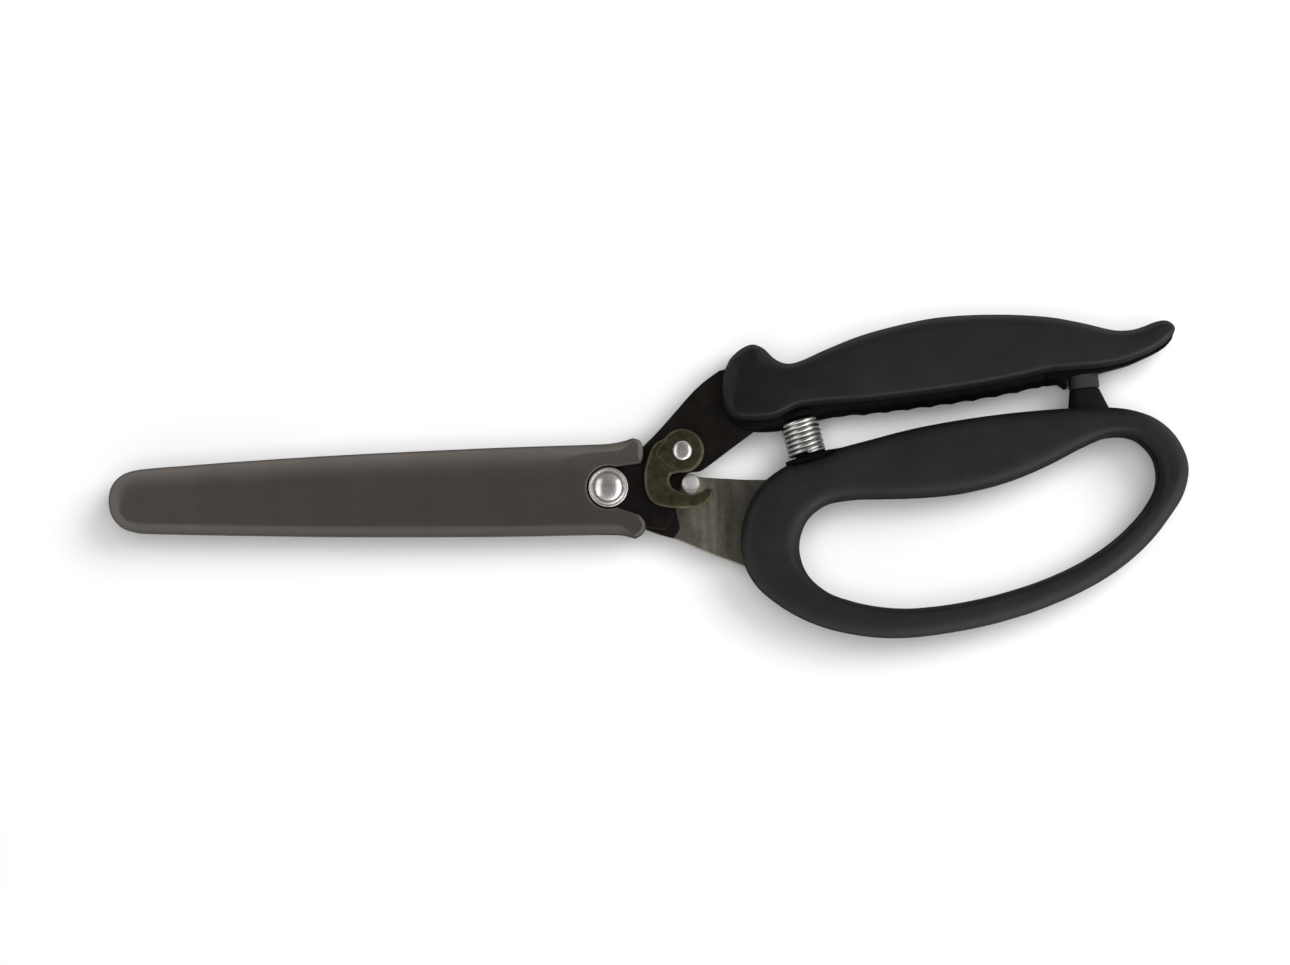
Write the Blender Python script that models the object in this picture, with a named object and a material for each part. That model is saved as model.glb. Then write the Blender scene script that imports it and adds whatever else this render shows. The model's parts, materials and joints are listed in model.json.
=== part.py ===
"""Poultry shears with a blade guard, a return spring and a handle latch.

The shears lie flat with the blades closed.  +Z is up, the blades point along -X and
the handles along +X, and the origin is under the middle of the whole object.
Lengths in this file are millimetres, measured from the pivot in X and Y and from the
surface that the shears lie on in Z; meshes are scaled to metres as they are made.
"""
import bpy
import bmesh
from math import cos, hypot, pi, radians, sin
from mathutils import Matrix, Vector

MM = 0.001

# Overall reach from the pivot axis.
GUARD_REACH = 125.1          # to the end of the blade guard
LOOP_REACH = 144.7           # to the end of the finger loop
UPPER_REACH = 41.1           # to the back of the upper handle
LOWER_REACH = 39.1           # to the underside of the finger loop
PIVOT = Vector(((GUARD_REACH - LOOP_REACH) / 2, (LOWER_REACH - UPPER_REACH) / 2, 0))

# Layers, from the table up.
GAP = 0.3                    # clearance between touching pieces
GRIP_BACK = (0.0, 3.2)
CORE = (3.5, 11.5)
GRIP_FRONT = (11.8, 15.4)
BACK_PLATE = (4.85, 7.35)
FRONT_PLATE = (7.65, 10.15)
GUARD_OUTSIDE = (3.1, 11.9)
GUARD_INSIDE = (4.5, 10.45)
THROUGH = (0.0, 20.0)        # a drill that passes every layer
MIDDLE = (BACK_PLATE[0] + FRONT_PLATE[1]) / 2

# Blades and pivot.
BLADE_REACH = 116.5
BLADE_LAND = 0.6             # flat left behind the ground edge
BLADE_GRIND = 3.0            # width of the ground edge
BOSS_RADIUS = 9.4
PIN_PATH_RADIUS = 17.85      # the front plate ends here, clear of the catch pin's path
PIVOT_HOLE = 2.5
SHANK_RADIUS = 2.2
RING_RADIUS = 5.0
RING = (10.45, 11.9)
SCREW_FOOT = 1.2
SCREW_TOP = 13.1
SCREW_HEAD_RADIUS = 3.3
SCREW_HEAD_FROM = 11.3
PIVOT_WASHER = (3.7, 4.55)
PIVOT_NUT = (1.5, 3.4)
NUT_ACROSS_CORNERS = 8.0

# Latch and its catch pin.
RIVET_AT = Vector((18.7, 8.6, 0))
RIVET_RADIUS = 1.5
RIVET_HEAD_RADIUS = 2.4
RIVET_TOP = 15.3
RIVET_FOOT = 6.2
RIVET_FOOT_RADIUS = 2.2
EYE_RADIUS = 5.45
EYE_PLATE_RADIUS = 5.35
LATCH = (12.3, 13.7)
LATCH_EYE_TOP = 14.1
LATCH_SPACER = (10.45, 12.0)
SPACER_RADIUS = 3.4
CATCH_AT = Vector((20.6, 0.5, 0))
CATCH_RADIUS = 2.3
CATCH_SHANK = 1.1
CATCH_TOP = 12.0
CATCH_FOOT = 4.0
CATCH_FOOT_RADIUS = 1.8

# Return spring, on a line square to the radius from the pivot.
SPRING_ANGLE = radians(13.4)
SPRING_RADIUS = 50.4
SPRING_LENGTH = 9.4
SPRING_OUTSIDE = 9.6
SPRING_WIRE = 1.0
SPRING_TURNS = 7.5
UPPER_CUP_RADIUS = 5.3
LOWER_CUP_RADIUS = 5.9
CUP_DEPTH = 1.4
CUP_PEG_RADIUS = 3.1
CUP_PEG_LENGTH = 2.4

# Closing stops, where the two handles meet.
STOP_ANGLE = radians(10.45)
STOP_RADIUS = 121.8
BUMPER_LEAN = radians(4.0)
BUMPER_GAP = 0.3             # at the middle of the bumper's foot, which leans on the stop
STOP_GAP = 0.15              # from the plane where the stops meet to either of them
BUMPER_RADIUS = 3.9
BUMPER_LENGTH = 6.8
STOP_TOP_RADIUS = 3.8
STOP_BASE_RADIUS = 5.5
STOP_LENGTH = 6.2
STOP_SPIGOT = (2.7, 2.0)     # radius, length

# Handles.
RIB_PITCH = 5.5              # ribs along the inner edge of the upper handle
RIB_DEPTH = 0.34
RIB_SPAN = (59.0, 110.0)
GRIP_SETBACK = 3.2           # soft grip's edge above the ribbed edge
FRONT_ROUNDING = 3.2
BACK_ROUNDING = 2.6
TANG_SLOT_FROM = 26.0
TANG_RIVET_RADIUS = 1.25
UPPER_TANG_RIVETS = ((46.0, 24.0), (58.0, 25.0))
LOWER_TANG_RIVETS = ((39.5, -12.0), (54.0, 1.2))

GUARD_WALL = 1.4
GUARD_WALL_END = (-2.5, -10.2)   # the guard's side wall stops short of the pivot
NOTCH_RADIUS = 5.35
BEYOND = 20.0                # how far a cutter reaches past an open side


# ---------------------------------------------------------------- outlines

def curve(points, steps=3):
    """A smooth open curve through points, with steps pieces to each span."""
    padded = [points[0], *points, points[-1]]
    out = []
    for a, b, c, d in zip(padded, padded[1:], padded[2:], padded[3:]):
        for k in range(steps):
            t = k / steps
            out.append(tuple(
                0.5 * (2 * b[i] + (c[i] - a[i]) * t
                       + (2 * a[i] - 5 * b[i] + 4 * c[i] - d[i]) * t * t
                       + (3 * b[i] - a[i] - 3 * c[i] + d[i]) * t ** 3)
                for i in (0, 1)))
    out.append(tuple(points[-1]))
    return out


def loop(points, steps=3):
    """A smooth closed curve through points."""
    count = len(points)
    ring = [points[-1], *points, points[0], points[1]]
    return [p for k in range(count) for p in curve(ring[k:k + 4], steps)[steps:2 * steps]]


def arc(radius, start, end, steps, centre=(0, 0)):
    """Points on a circle, from start to end degrees."""
    angles = [radians(start + (end - start) * k / steps) for k in range(steps + 1)]
    return [(centre[0] + radius * cos(a), centre[1] + radius * sin(a)) for a in angles]


def tidy(points, least=0.12):
    """An outline without points that nearly repeat their neighbour."""
    out = []
    for p in points:
        if not out or hypot(p[0] - out[-1][0], p[1] - out[-1][1]) > least:
            out.append(p)
    if hypot(out[0][0] - out[-1][0], out[0][1] - out[-1][1]) <= least:
        out.pop()
    return out


def signed_area(points):
    pairs = zip(points, points[1:] + points[:1])
    return sum(a[0] * b[1] - b[0] * a[1] for a, b in pairs) / 2


def inward(points, depth, limit=0.85):
    """The outline moved in by depth, or by less where it is too narrow for that.

    The room at a point is the radius of the largest circle inside the outline that
    touches it there.
    """
    turn = 1 if signed_area(points) > 0 else -1
    count = len(points)
    out = []
    for k, p in enumerate(points):
        before, after = points[k - 1], points[(k + 1) % count]
        along = Vector((after[0] - before[0], after[1] - before[1])).normalized()
        inside = Vector((-along.y, along.x)) * turn
        room = 1000.0
        for q in points:
            gap = Vector((q[0] - p[0], q[1] - p[1]))
            depth_of_q = gap.dot(inside)
            if depth_of_q > 0.02:
                room = min(room, gap.length_squared / (2 * depth_of_q))
        step = min(depth, limit * room) if depth > 0 else depth
        out.append((p[0] + inside.x * step, p[1] + inside.y * step))
    return out


GUARD_TIP = (-GUARD_REACH, -0.7)
GUARD_TOP = [(-124.6, 2.4), (-123.2, 4.6), (-121.2, 6.05), (-118.4, 6.9), (-114.0, 7.35),
             (-106.0, 7.8), (-90.0, 8.65), (-64.5, 9.65), (-30.0, 10.5), (-8.0, 10.75),
             (0.0, 10.9), (3.6, 11.4), (6.3, 12.2)]
GUARD_LOW = [(-124.6, -3.9), (-123.2, -6.2), (-121.2, -7.8), (-118.4, -8.65), (-114.0, -8.95),
             (-106.0, -9.3), (-90.0, -9.93), (-64.5, -10.8), (-30.0, -11.5), (-8.0, -11.62),
             (0.0, -11.68), (3.6, -12.0), (6.3, -12.75)]


def guard_outline():
    """The guard seen from the front: a long tapered sheath whose mouth flares out."""
    sides = curve([*GUARD_LOW[::-1], GUARD_TIP, *GUARD_TOP], 3)
    mouth_top = curve([GUARD_TOP[-1], (8.2, 11.4), (8.9, 9.4), (8.7, 6.8), (8.2, 5.8)], 2)
    notch = arc(NOTCH_RADIUS, 70, 290, 14)
    mouth_low = curve([(7.7, -7.0), (8.9, -8.7), (9.0, -10.3), (7.9, -11.9), GUARD_LOW[-1]], 2)
    return tidy(sides + mouth_top + notch + mouth_low)


def guard_cavity():
    """The space inside the guard, open along the upper edge and at the mouth."""
    tip = [(-123.7, 0.2), (-123.2, -2.6), (-121.8, -4.6), (-119.6, -5.9)]
    wall = curve([*tip, *[(x, y + GUARD_WALL) for x, y in GUARD_LOW[4:9]]], 3)
    end_x, end_y = GUARD_WALL_END
    return wall + [(end_x, end_y), (end_x, -BEYOND), (BEYOND, -BEYOND), (BEYOND, BEYOND),
                   (-GUARD_REACH - BEYOND, BEYOND), (-GUARD_REACH - BEYOND, tip[0][1])]


def front_blade_outline(bevel=0.0):
    """The upper lever: a blade below the centre line and a tang up to its handle."""
    edge = curve([(-BLADE_REACH, -0.6), (-112.0, -0.1 - bevel), (-90.0, 0.6 - bevel),
                  (-60.0, 1.1 - bevel), (-30.0, 1.5 - bevel), (-13.0, 1.8 - bevel)], 3)
    boss_top = arc(BOSS_RADIUS, 168, 62, 8)
    back = curve([(8.9, 10.1), (13.3, 14.4), (19.4, 21.1), (22.4, 24.2), (25.3, 26.6),
                  (28.4, 28.7)], 2)
    tang = curve([(33.0, 29.6), (40.0, 27.6), (47.0, 26.6), (61.0, 27.4), (64.5, 25.0),
                  (62.0, 22.6), (46.0, 21.0), (41.0, 19.4), (38.5, 16.8)], 2)
    front = curve([(37.0, 13.4), (31.2, 9.3), (25.1, 4.9), (22.9, 3.6), (20.5, 3.4),
                   (18.6, 2.2)], 2)
    relief = arc(PIN_PATH_RADIUS, 0, -38, 6)
    heel = curve([(10.0, -10.3), (6.0, -9.4)], 1)
    boss_low = arc(BOSS_RADIUS, -66, -98, 4)
    spine = curve([(-10.0, -9.45), (-20.0, -9.3), (-64.5, -8.2), (-100.0, -6.8),
                   (-110.0, -5.6), (-115.0, -3.4)], 2)
    return tidy(edge + boss_top + back + tang + front + relief + heel + boss_low + spine)


def back_blade_outline(bevel=0.0):
    """The lower lever: a blade above the centre line and a tang down to its loop."""
    edge = curve([(-13.0, -2.9 + bevel), (-30.0, -2.5 + bevel), (-60.0, -2.1 + bevel),
                  (-90.0, -1.6 + bevel), (-112.0, -0.9 + bevel), (-BLADE_REACH, -0.4)], 3)
    spine = curve([(-115.0, 2.8), (-110.0, 5.0), (-100.0, 6.3), (-64.5, 7.9),
                   (-20.0, 8.9), (-10.0, 9.0)], 2)
    boss_top = arc(BOSS_RADIUS, 98, 62, 4)
    top = curve([(8.0, 7.4), (12.0, 5.6), (16.0, 3.8), (19.2, 2.8), (20.6, 2.9),
                 (22.0, 2.6), (23.4, 2.2), (28.0, 1.8), (34.5, 1.3)], 2)
    tang = curve([(39.0, 1.2), (46.0, 1.9), (56.0, 3.1), (60.0, 3.2), (62.3, 1.2),
                  (60.0, -0.8), (49.0, -2.6), (44.6, -8.0), (43.0, -16.0), (40.0, -21.0),
                  (36.6, -22.3)], 2)
    low = curve([(33.0, -20.1), (24.6, -16.8), (17.7, -13.6), (12.4, -12.0), (9.0, -10.7),
                 (6.4, -9.6)], 2)
    boss_low = arc(BOSS_RADIUS, -68, -162, 7)
    return tidy(edge + spine + boss_top + top + tang + low + boss_low)


UPPER_BACK = [(142.3, 36.0), (141.7, 37.7), (139.9, 38.6), (137.3, 38.2), (134.6, 37.2),
              (131.6, 36.4), (128.2, 36.3), (124.9, 36.9), (118.9, 38.5), (110.0, 40.2),
              (98.0, 41.0),
              (86.0, 40.8), (76.9, 39.6), (64.9, 36.8), (55.6, 33.4), (49.0, 30.6),
              (45.3, 29.9), (42.2, 31.2), (39.6, 33.8), (36.8, 34.9), (34.0, 33.9),
              (31.4, 31.7)]
UPPER_END = [(30.2, 29.6), (29.2, 27.0), (28.9, 23.5), (29.5, 18.9)]
UPPER_EDGE = [(57.0, 16.5), (64.4, 16.8), (76.4, 17.9), (88.5, 19.3), (100.5, 21.1),
              (110.5, 23.1)]


def rib(x):
    """How far the ribbed inner edge of the upper handle is cut back at x."""
    if not RIB_SPAN[0] < x < RIB_SPAN[1]:
        return 0.0
    return RIB_DEPTH * abs(sin(pi * (x - RIB_SPAN[0]) / RIB_PITCH))


def upper_core_outline():
    """The hard middle layer of the upper handle, with its ribs and a lug by its bumper."""
    start = curve([*UPPER_END, (31.8, 15.2), (35.8, 13.5), (43.0, 13.3), (49.0, 15.0),
                   UPPER_EDGE[0]], 2)
    ribbed = []
    for x, y in curve(UPPER_EDGE, 8)[1:]:
        ribbed.append((x, y + rib(x)))
    lug = [(113.2, 23.4), (114.6, 22.6), (115.3, 22.2), (115.2, 25.1)]
    tail = curve([(124.2, 26.2), (130.7, 27.8), (135.0, 29.5), (139.4, 31.6), (141.6, 33.9)], 2)
    return tidy(start + ribbed + lug + tail + curve(UPPER_BACK, 2))


def upper_grip_outline():
    """The soft grip on either face of the upper handle."""
    low = [(31.6, 16.6), (36.3, 15.9), (41.4, 16.2), (44.6, 17.4), (48.0, 18.9),
           (52.5, 19.4)]
    low += [(x, y + GRIP_SETBACK) for x, y in UPPER_EDGE]
    tail = [(117.0, 26.7), (124.0, 27.2), (129.0, 28.1), (133.5, 29.6), (137.2, 31.2),
            (140.4, 33.4)]
    return tidy(curve([*UPPER_END, *low, *tail, *UPPER_BACK], 2))


LOOP_OUTSIDE = [(39.5, 0.9), (45.5, 4.9), (52.1, 7.6), (59.2, 8.8), (66.2, 10.5), (73.2, 12.2),
                (80.2, 13.6), (87.4, 14.7), (94.5, 15.6), (101.6, 16.3), (108.8, 16.8),
                (116.0, 17.1), (123.2, 17.2), (130.3, 16.5), (137.0, 14.0), (142.1, 9.1),
                (144.7, 2.3), (143.4, -4.7), (139.5, -10.8), (134.9, -16.4), (129.6, -21.2),
                (123.7, -25.3), (117.3, -28.7), (110.7, -31.5), (103.9, -33.9), (97.0, -35.8),
                (90.0, -37.3), (82.9, -38.4), (75.7, -39.1), (68.5, -39.1), (61.4, -38.2),
                (54.4, -36.5), (47.8, -33.8), (41.7, -30.0), (36.4, -25.1), (33.3, -18.7),
                (33.0, -11.6), (35.2, -4.7)]
LOOP_INSIDE = [(47.3, -16.3), (49.2, -9.9), (54.2, -5.6), (60.8, -4.3), (67.5, -4.2),
               (74.2, -4.2), (81.0, -4.0), (87.7, -3.4), (94.3, -2.2), (100.8, -0.5),
               (107.1, 1.8), (113.3, 4.6), (119.3, 7.6), (125.6, 9.9), (132.2, 9.2),
               (136.8, 4.4), (137.4, -2.2), (134.3, -8.1), (129.7, -13.1), (124.5, -17.3),
               (118.8, -20.8), (112.7, -23.7), (106.4, -26.1), (100.0, -28.0), (93.4, -29.6),
               (86.8, -30.8), (80.1, -31.6), (73.4, -31.9), (66.7, -31.3), (60.1, -29.8),
               (53.9, -27.3), (49.1, -22.7)]
SPRING_DIP = [(43.6, 3.7), (45.6, 4.2), (49.0, 5.0), (52.5, 5.9), (55.4, 6.8), (57.3, 8.1)]
GRIP_OUTSIDE = [LOOP_OUTSIDE[0], *SPRING_DIP, *LOOP_OUTSIDE[3:]]     # it dips by the spring


def latch_outline():
    """The latch: a round eye with a hook that curls under the catch pin."""
    eye = arc(EYE_RADIUS, -100, 146, 14, (RIVET_AT.x, RIVET_AT.y))
    back = curve([(12.0, 10.6), (10.7, 8.6), (9.3, 4.6), (9.0, 1.4), (9.6, -2.0),
                  (11.2, -4.2), (13.8, -5.2), (17.5, -5.7), (21.5, -5.6), (24.3, -4.6),
                  (26.1, -2.6), (26.0, -1.3), (24.6, -1.0), (23.0, -1.9), (20.6, -2.5),
                  (17.8, -1.6), (15.9, -0.4), (15.3, 1.3), (15.8, 2.8)], 2)
    return tidy(eye + back)


# ---------------------------------------------------------------- solids

def finish_mesh(bm, name, colour, roughness, metallic, smooth=30.0):
    """Turn a bmesh in millimetres into a named object with its own material."""
    bmesh.ops.recalc_face_normals(bm, faces=bm.faces)
    bmesh.ops.scale(bm, vec=(MM, MM, MM), verts=bm.verts)
    mesh = bpy.data.meshes.new(name)
    bm.to_mesh(mesh)
    bm.free()
    mesh.shade_smooth()
    mesh.set_sharp_from_angle(angle=radians(smooth))
    material = bpy.data.materials.new(name)
    material.use_nodes = True
    shader = material.node_tree.nodes["Principled BSDF"]
    shader.inputs["Base Color"].default_value = (*colour, 1.0)
    shader.inputs["Roughness"].default_value = roughness
    shader.inputs["Metallic"].default_value = metallic
    mesh.materials.append(material)
    piece = bpy.data.objects.new(name, mesh)
    bpy.context.scene.collection.objects.link(piece)
    return piece


def stack(bm, levels):
    """A solid through levels of (z, outlines), every level with the same outlines."""
    rings = []
    for z, outlines in levels:
        rings.append([[bm.verts.new((x, y, z)) for x, y in line] for line in outlines])
    for low, high in zip(rings, rings[1:]):
        for a, b in zip(low, high):
            count = len(a)
            for k in range(count):
                n = (k + 1) % count
                bm.faces.new((a[k], a[n], b[n], b[k]))
    for lines in (rings[0], rings[-1]):
        edges = []
        for line in lines:
            for k, vert in enumerate(line):
                after = line[(k + 1) % len(line)]
                edges.append(bm.edges.get((vert, after)) or bm.edges.new((vert, after)))
        bmesh.ops.triangle_fill(bm, use_beauty=True, use_dissolve=False, edges=edges)


def plate(name, levels, look):
    """A flat piece built from outlines at rising heights."""
    bm = bmesh.new()
    stack(bm, levels)
    return finish_mesh(bm, name, *look)


def along(angle, radius, offset, lean=None):
    """The frame of an axis that leans by angle, or by lean, offset along itself."""
    lean = angle if lean is None else lean
    tangent = Vector((-sin(lean), cos(lean), 0))
    place = Vector((radius * cos(angle), radius * sin(angle), MIDDLE)) + tangent * offset
    turn = tangent.to_track_quat("Z", "X").to_matrix().to_4x4()
    return Matrix.Translation(place) @ turn


UPRIGHT = Matrix.Identity(4)


def upright_at(point):
    return Matrix.Translation((point.x, point.y, 0))


def turned(bm, profile, frame, sides=24):
    """A solid turned about its frame's Z axis; profile runs (radius, height) upward.

    A profile that starts and ends on the axis makes a solid piece; one that closes on
    itself away from the axis makes a ring.
    """
    solid = profile[0][0] == 0
    rings = []
    for radius, height in profile:
        if radius == 0:
            rings.append([bm.verts.new(frame @ Vector((0, 0, height)))])
            continue
        angles = [2 * pi * k / sides for k in range(sides)]
        rings.append([bm.verts.new(frame @ Vector((radius * cos(a), radius * sin(a), height)))
                      for a in angles])
    pairs = list(zip(rings, rings[1:]))
    if not solid:
        pairs.append((rings[-1], rings[0]))
    for low, high in pairs:
        for k in range(sides):
            n = (k + 1) % sides
            corners = [low[k % len(low)], low[n % len(low)],
                       high[n % len(high)], high[k % len(high)]]
            bm.faces.new(list(dict.fromkeys(corners)))


def turned_piece(name, profile, frame, look, sides=24):
    bm = bmesh.new()
    turned(bm, profile, frame, sides)
    return finish_mesh(bm, name, *look)


def ring_profile(inside, outside, low, high):
    return [(inside, low), (outside, low), (outside, high), (inside, high)]


def rod_profile(radius, low, high, ease=0.25):
    return [(0, low), (radius - ease, low), (radius, low + ease), (radius, high - ease),
            (radius - ease, high), (0, high)]


def cut(piece, cutter_name, fill):
    """Cut fill's shape out of a piece with an exact Boolean and a hidden cutter."""
    bm = bmesh.new()
    fill(bm)
    cutter = finish_mesh(bm, cutter_name, (1, 1, 1), 0.5, 0.0)
    cutter.hide_render = True
    cutter.display_type = "WIRE"
    cutter.location = PIVOT * MM
    modifier = piece.modifiers.new(cutter_name, "BOOLEAN")
    modifier.operation = "DIFFERENCE"
    modifier.solver = "EXACT"
    modifier.object = cutter


def drill(piece, name, frame, radius, low, high, sides=20):
    cut(piece, name, lambda bm: turned(bm, [(0, low), (radius, low), (radius, high), (0, high)],
                                       frame, sides))


def place(pieces, axis):
    """Hang pieces on an empty that stands on their joint's axis."""
    empty_name, point = axis
    empty = bpy.data.objects.new(empty_name, None)
    empty.location = (PIVOT + point) * MM
    empty.empty_display_size = 0.01
    bpy.context.scene.collection.objects.link(empty)
    for piece in pieces:
        piece.data.transform(Matrix.Translation(-point * MM))
        piece.parent = empty


# ---------------------------------------------------------------- looks

BLACK_STEEL = ((0.012, 0.011, 0.010), 0.42, 0.9)
SATIN_STEEL = ((0.16, 0.15, 0.13), 0.38, 1.0)
BRIGHT_STEEL = ((0.62, 0.60, 0.58), 0.16, 1.0)
OLIVE_STEEL = ((0.050, 0.045, 0.030), 0.40, 0.8)
HARD_BLACK = ((0.012, 0.012, 0.012), 0.55, 0.0)
SOFT_BLACK = ((0.024, 0.023, 0.024), 0.62, 0.0)
RUBBER = ((0.032, 0.031, 0.030), 0.75, 0.0)
GUARD_PLASTIC = ((0.060, 0.055, 0.049), 0.52, 0.0)


# ---------------------------------------------------------------- sub-parts

def rounded_levels(outline, low, high, radius, face_up=True, hole=None):
    """Levels of a layer whose outer face has rounded edges."""
    shape = [(0.0, 0.0), (0.45, 0.12), (0.75, 0.38), (0.93, 0.70), (1.0, 1.0)]
    levels = []
    for rise, inset in shape:
        height = high - radius + radius * rise if face_up else low + radius - radius * rise
        lines = [inward(outline, radius * inset)]
        if hole:
            lines.append(inward(hole, -radius * inset))
        levels.append((height, lines))
    flat = low if face_up else high
    levels.insert(0, (flat, [outline] + ([hole] if hole else [])))
    return levels if face_up else levels[::-1]


def make_blade(name, outline, plate_range, outer_up, look):
    """A flat lever whose cutting edge is ground on its outer face."""
    low, high = plate_range
    plain = outline(0.0)
    ground = outline(BLADE_GRIND)
    if outer_up:
        levels = [(low, [plain]), (low + BLADE_LAND, [plain]), (high, [ground])]
    else:
        levels = [(low, [ground]), (high - BLADE_LAND, [plain]), (high, [plain])]
    blade = plate(name, levels, look)
    drill(blade, name + "_pivot_cut", UPRIGHT, PIVOT_HOLE, *THROUGH, 32)
    return blade


def tang_rivets(name, places):
    """The pins that hold a tang in its handle's core, one object each."""
    profile = rod_profile(TANG_RIVET_RADIUS, CORE[0] + GAP, CORE[1] - GAP)
    return [turned_piece(f"{name}_{k + 1}", profile, Matrix.Translation((x, y, 0)),
                         BRIGHT_STEEL, 14)
            for k, (x, y) in enumerate(places)]


def drill_for_rivets(piece, places):
    for k, (x, y) in enumerate(places):
        drill(piece, f"{piece.name}_rivet_cut_{k + 1}", Matrix.Translation((x, y, 0)),
              TANG_RIVET_RADIUS + GAP, *THROUGH, 14)


def tang_slot(piece, outline, plate_range):
    """Cut the slot that a lever's tang lies in."""
    low, high = plate_range
    wide = inward(outline(0.0), -GAP)
    beyond = [p for p in wide if p[0] > TANG_SLOT_FROM]
    cut(piece, piece.name + "_tang_cut",
        lambda bm: stack(bm, [(low - GAP, [beyond]), (high + GAP, [beyond])]))


def make_spring():
    """The return spring: a round wire wound on a helix."""
    frame = along(SPRING_ANGLE, SPRING_RADIUS, -SPRING_LENGTH / 2)
    radius = (SPRING_OUTSIDE - SPRING_WIRE) / 2
    rise = SPRING_LENGTH - SPRING_WIRE
    sides, per_turn = 6, 16
    count = int(SPRING_TURNS * per_turn)
    bm = bmesh.new()
    rings = []
    for k in range(count + 1):
        a = 2 * pi * SPRING_TURNS * k / count
        centre = Vector((radius * cos(a), radius * sin(a), SPRING_WIRE / 2 + rise * k / count))
        outward = Vector((cos(a), sin(a), 0))
        ring = []
        for j in range(sides):
            b = 2 * pi * j / sides
            offset = outward * cos(b) + Vector((0, 0, sin(b)))
            ring.append(bm.verts.new(frame @ (centre + offset * SPRING_WIRE / 2)))
        rings.append(ring)
    for a, b in zip(rings, rings[1:]):
        for j in range(sides):
            n = (j + 1) % sides
            bm.faces.new((a[j], a[n], b[n], b[j]))
    bm.faces.new(rings[0])
    bm.faces.new(rings[-1])
    return finish_mesh(bm, "return_spring", *BRIGHT_STEEL)


def make_cup(name, side, radius):
    """A spring cup: a disc behind the spring's end and a peg inside its coils."""
    face = side * (SPRING_LENGTH / 2 + GAP)
    frame = along(SPRING_ANGLE, SPRING_RADIUS, face)
    back = side * CUP_DEPTH
    peg = -side * CUP_PEG_LENGTH
    profile = [(0, back), (radius, back), (radius, 0), (CUP_PEG_RADIUS, 0),
               (CUP_PEG_RADIUS - 0.3, peg), (0, peg)]
    return turned_piece(name, profile, frame, HARD_BLACK)


def seat_spring(piece, side, radius):
    """Cut the room that the spring and its cup need in a handle layer."""
    frame = along(SPRING_ANGLE, SPRING_RADIUS, 0)
    depth = SPRING_LENGTH / 2 + GAP + CUP_DEPTH + GAP
    ends = (0.0, depth) if side > 0 else (-depth, 0.0)
    drill(piece, piece.name + "_spring_cut", frame, radius + GAP, *ends, 24)


def make_upper_handle():
    outline = upper_core_outline()
    core = plate("upper_grip_core", [(CORE[0], [outline]), (CORE[1], [outline])], HARD_BLACK)
    tang_slot(core, front_blade_outline, FRONT_PLATE)
    seat_spring(core, 1, UPPER_CUP_RADIUS)
    drill_for_rivets(core, UPPER_TANG_RIVETS)
    stop = along(STOP_ANGLE, STOP_RADIUS, 0, BUMPER_LEAN)
    bumper_end = BUMPER_GAP + BUMPER_LENGTH
    drill(core, "upper_grip_core_bumper_cut", stop, BUMPER_RADIUS + GAP, -2.0,
          bumper_end + GAP, 24)
    grip = upper_grip_outline()
    front = plate("upper_grip_front", rounded_levels(grip, *GRIP_FRONT, FRONT_ROUNDING),
                  SOFT_BLACK)
    back = plate("upper_grip_back", rounded_levels(grip, *GRIP_BACK, BACK_ROUNDING, False),
                 SOFT_BLACK)
    bumper = turned_piece("upper_bumper", rod_profile(BUMPER_RADIUS, BUMPER_GAP, bumper_end, 0.35),
                          stop, RUBBER)
    cup = make_cup("upper_spring_cup", 1, UPPER_CUP_RADIUS)
    rivets = tang_rivets("upper_tang_rivet", UPPER_TANG_RIVETS)
    return [core, front, back, bumper, cup, *rivets]


def make_lower_handle():
    outside = loop(LOOP_OUTSIDE, 2)
    inside = loop(LOOP_INSIDE, 2)
    core = plate("loop_core", [(CORE[0], [outside, inside]), (CORE[1], [outside, inside])],
                 HARD_BLACK)
    tang_slot(core, back_blade_outline, BACK_PLATE)
    drill_for_rivets(core, LOWER_TANG_RIVETS)
    grip = loop(GRIP_OUTSIDE, 2)
    front = plate("loop_grip_front",
                  rounded_levels(grip, *GRIP_FRONT, FRONT_ROUNDING, True, inside), SOFT_BLACK)
    back = plate("loop_grip_back",
                 rounded_levels(grip, *GRIP_BACK, BACK_ROUNDING, False, inside), SOFT_BLACK)
    stop = along(STOP_ANGLE, STOP_RADIUS, 0)
    spigot_radius, spigot_length = STOP_SPIGOT
    for piece in (core, front, back):
        seat_spring(piece, -1, LOWER_CUP_RADIUS)
        drill(piece, piece.name + "_stop_cut", stop, STOP_BASE_RADIUS + GAP,
              -STOP_LENGTH - GAP, 2.0, 24)
    drill(core, "loop_core_spigot_cut", stop, spigot_radius + GAP,
          -STOP_LENGTH - spigot_length - GAP, -STOP_LENGTH, 20)
    profile = [(0, -STOP_LENGTH - spigot_length), (spigot_radius, -STOP_LENGTH - spigot_length),
               (spigot_radius, -STOP_LENGTH), (STOP_BASE_RADIUS, -STOP_LENGTH),
               (STOP_TOP_RADIUS, -STOP_GAP - 0.35), (STOP_TOP_RADIUS - 0.35, -STOP_GAP),
               (0, -STOP_GAP)]
    boss = turned_piece("closing_stop", profile, stop, HARD_BLACK)
    cup = make_cup("lower_spring_cup", -1, LOWER_CUP_RADIUS)
    rivets = tang_rivets("lower_tang_rivet", LOWER_TANG_RIVETS)
    return [core, front, back, boss, cup, *rivets]


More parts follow.
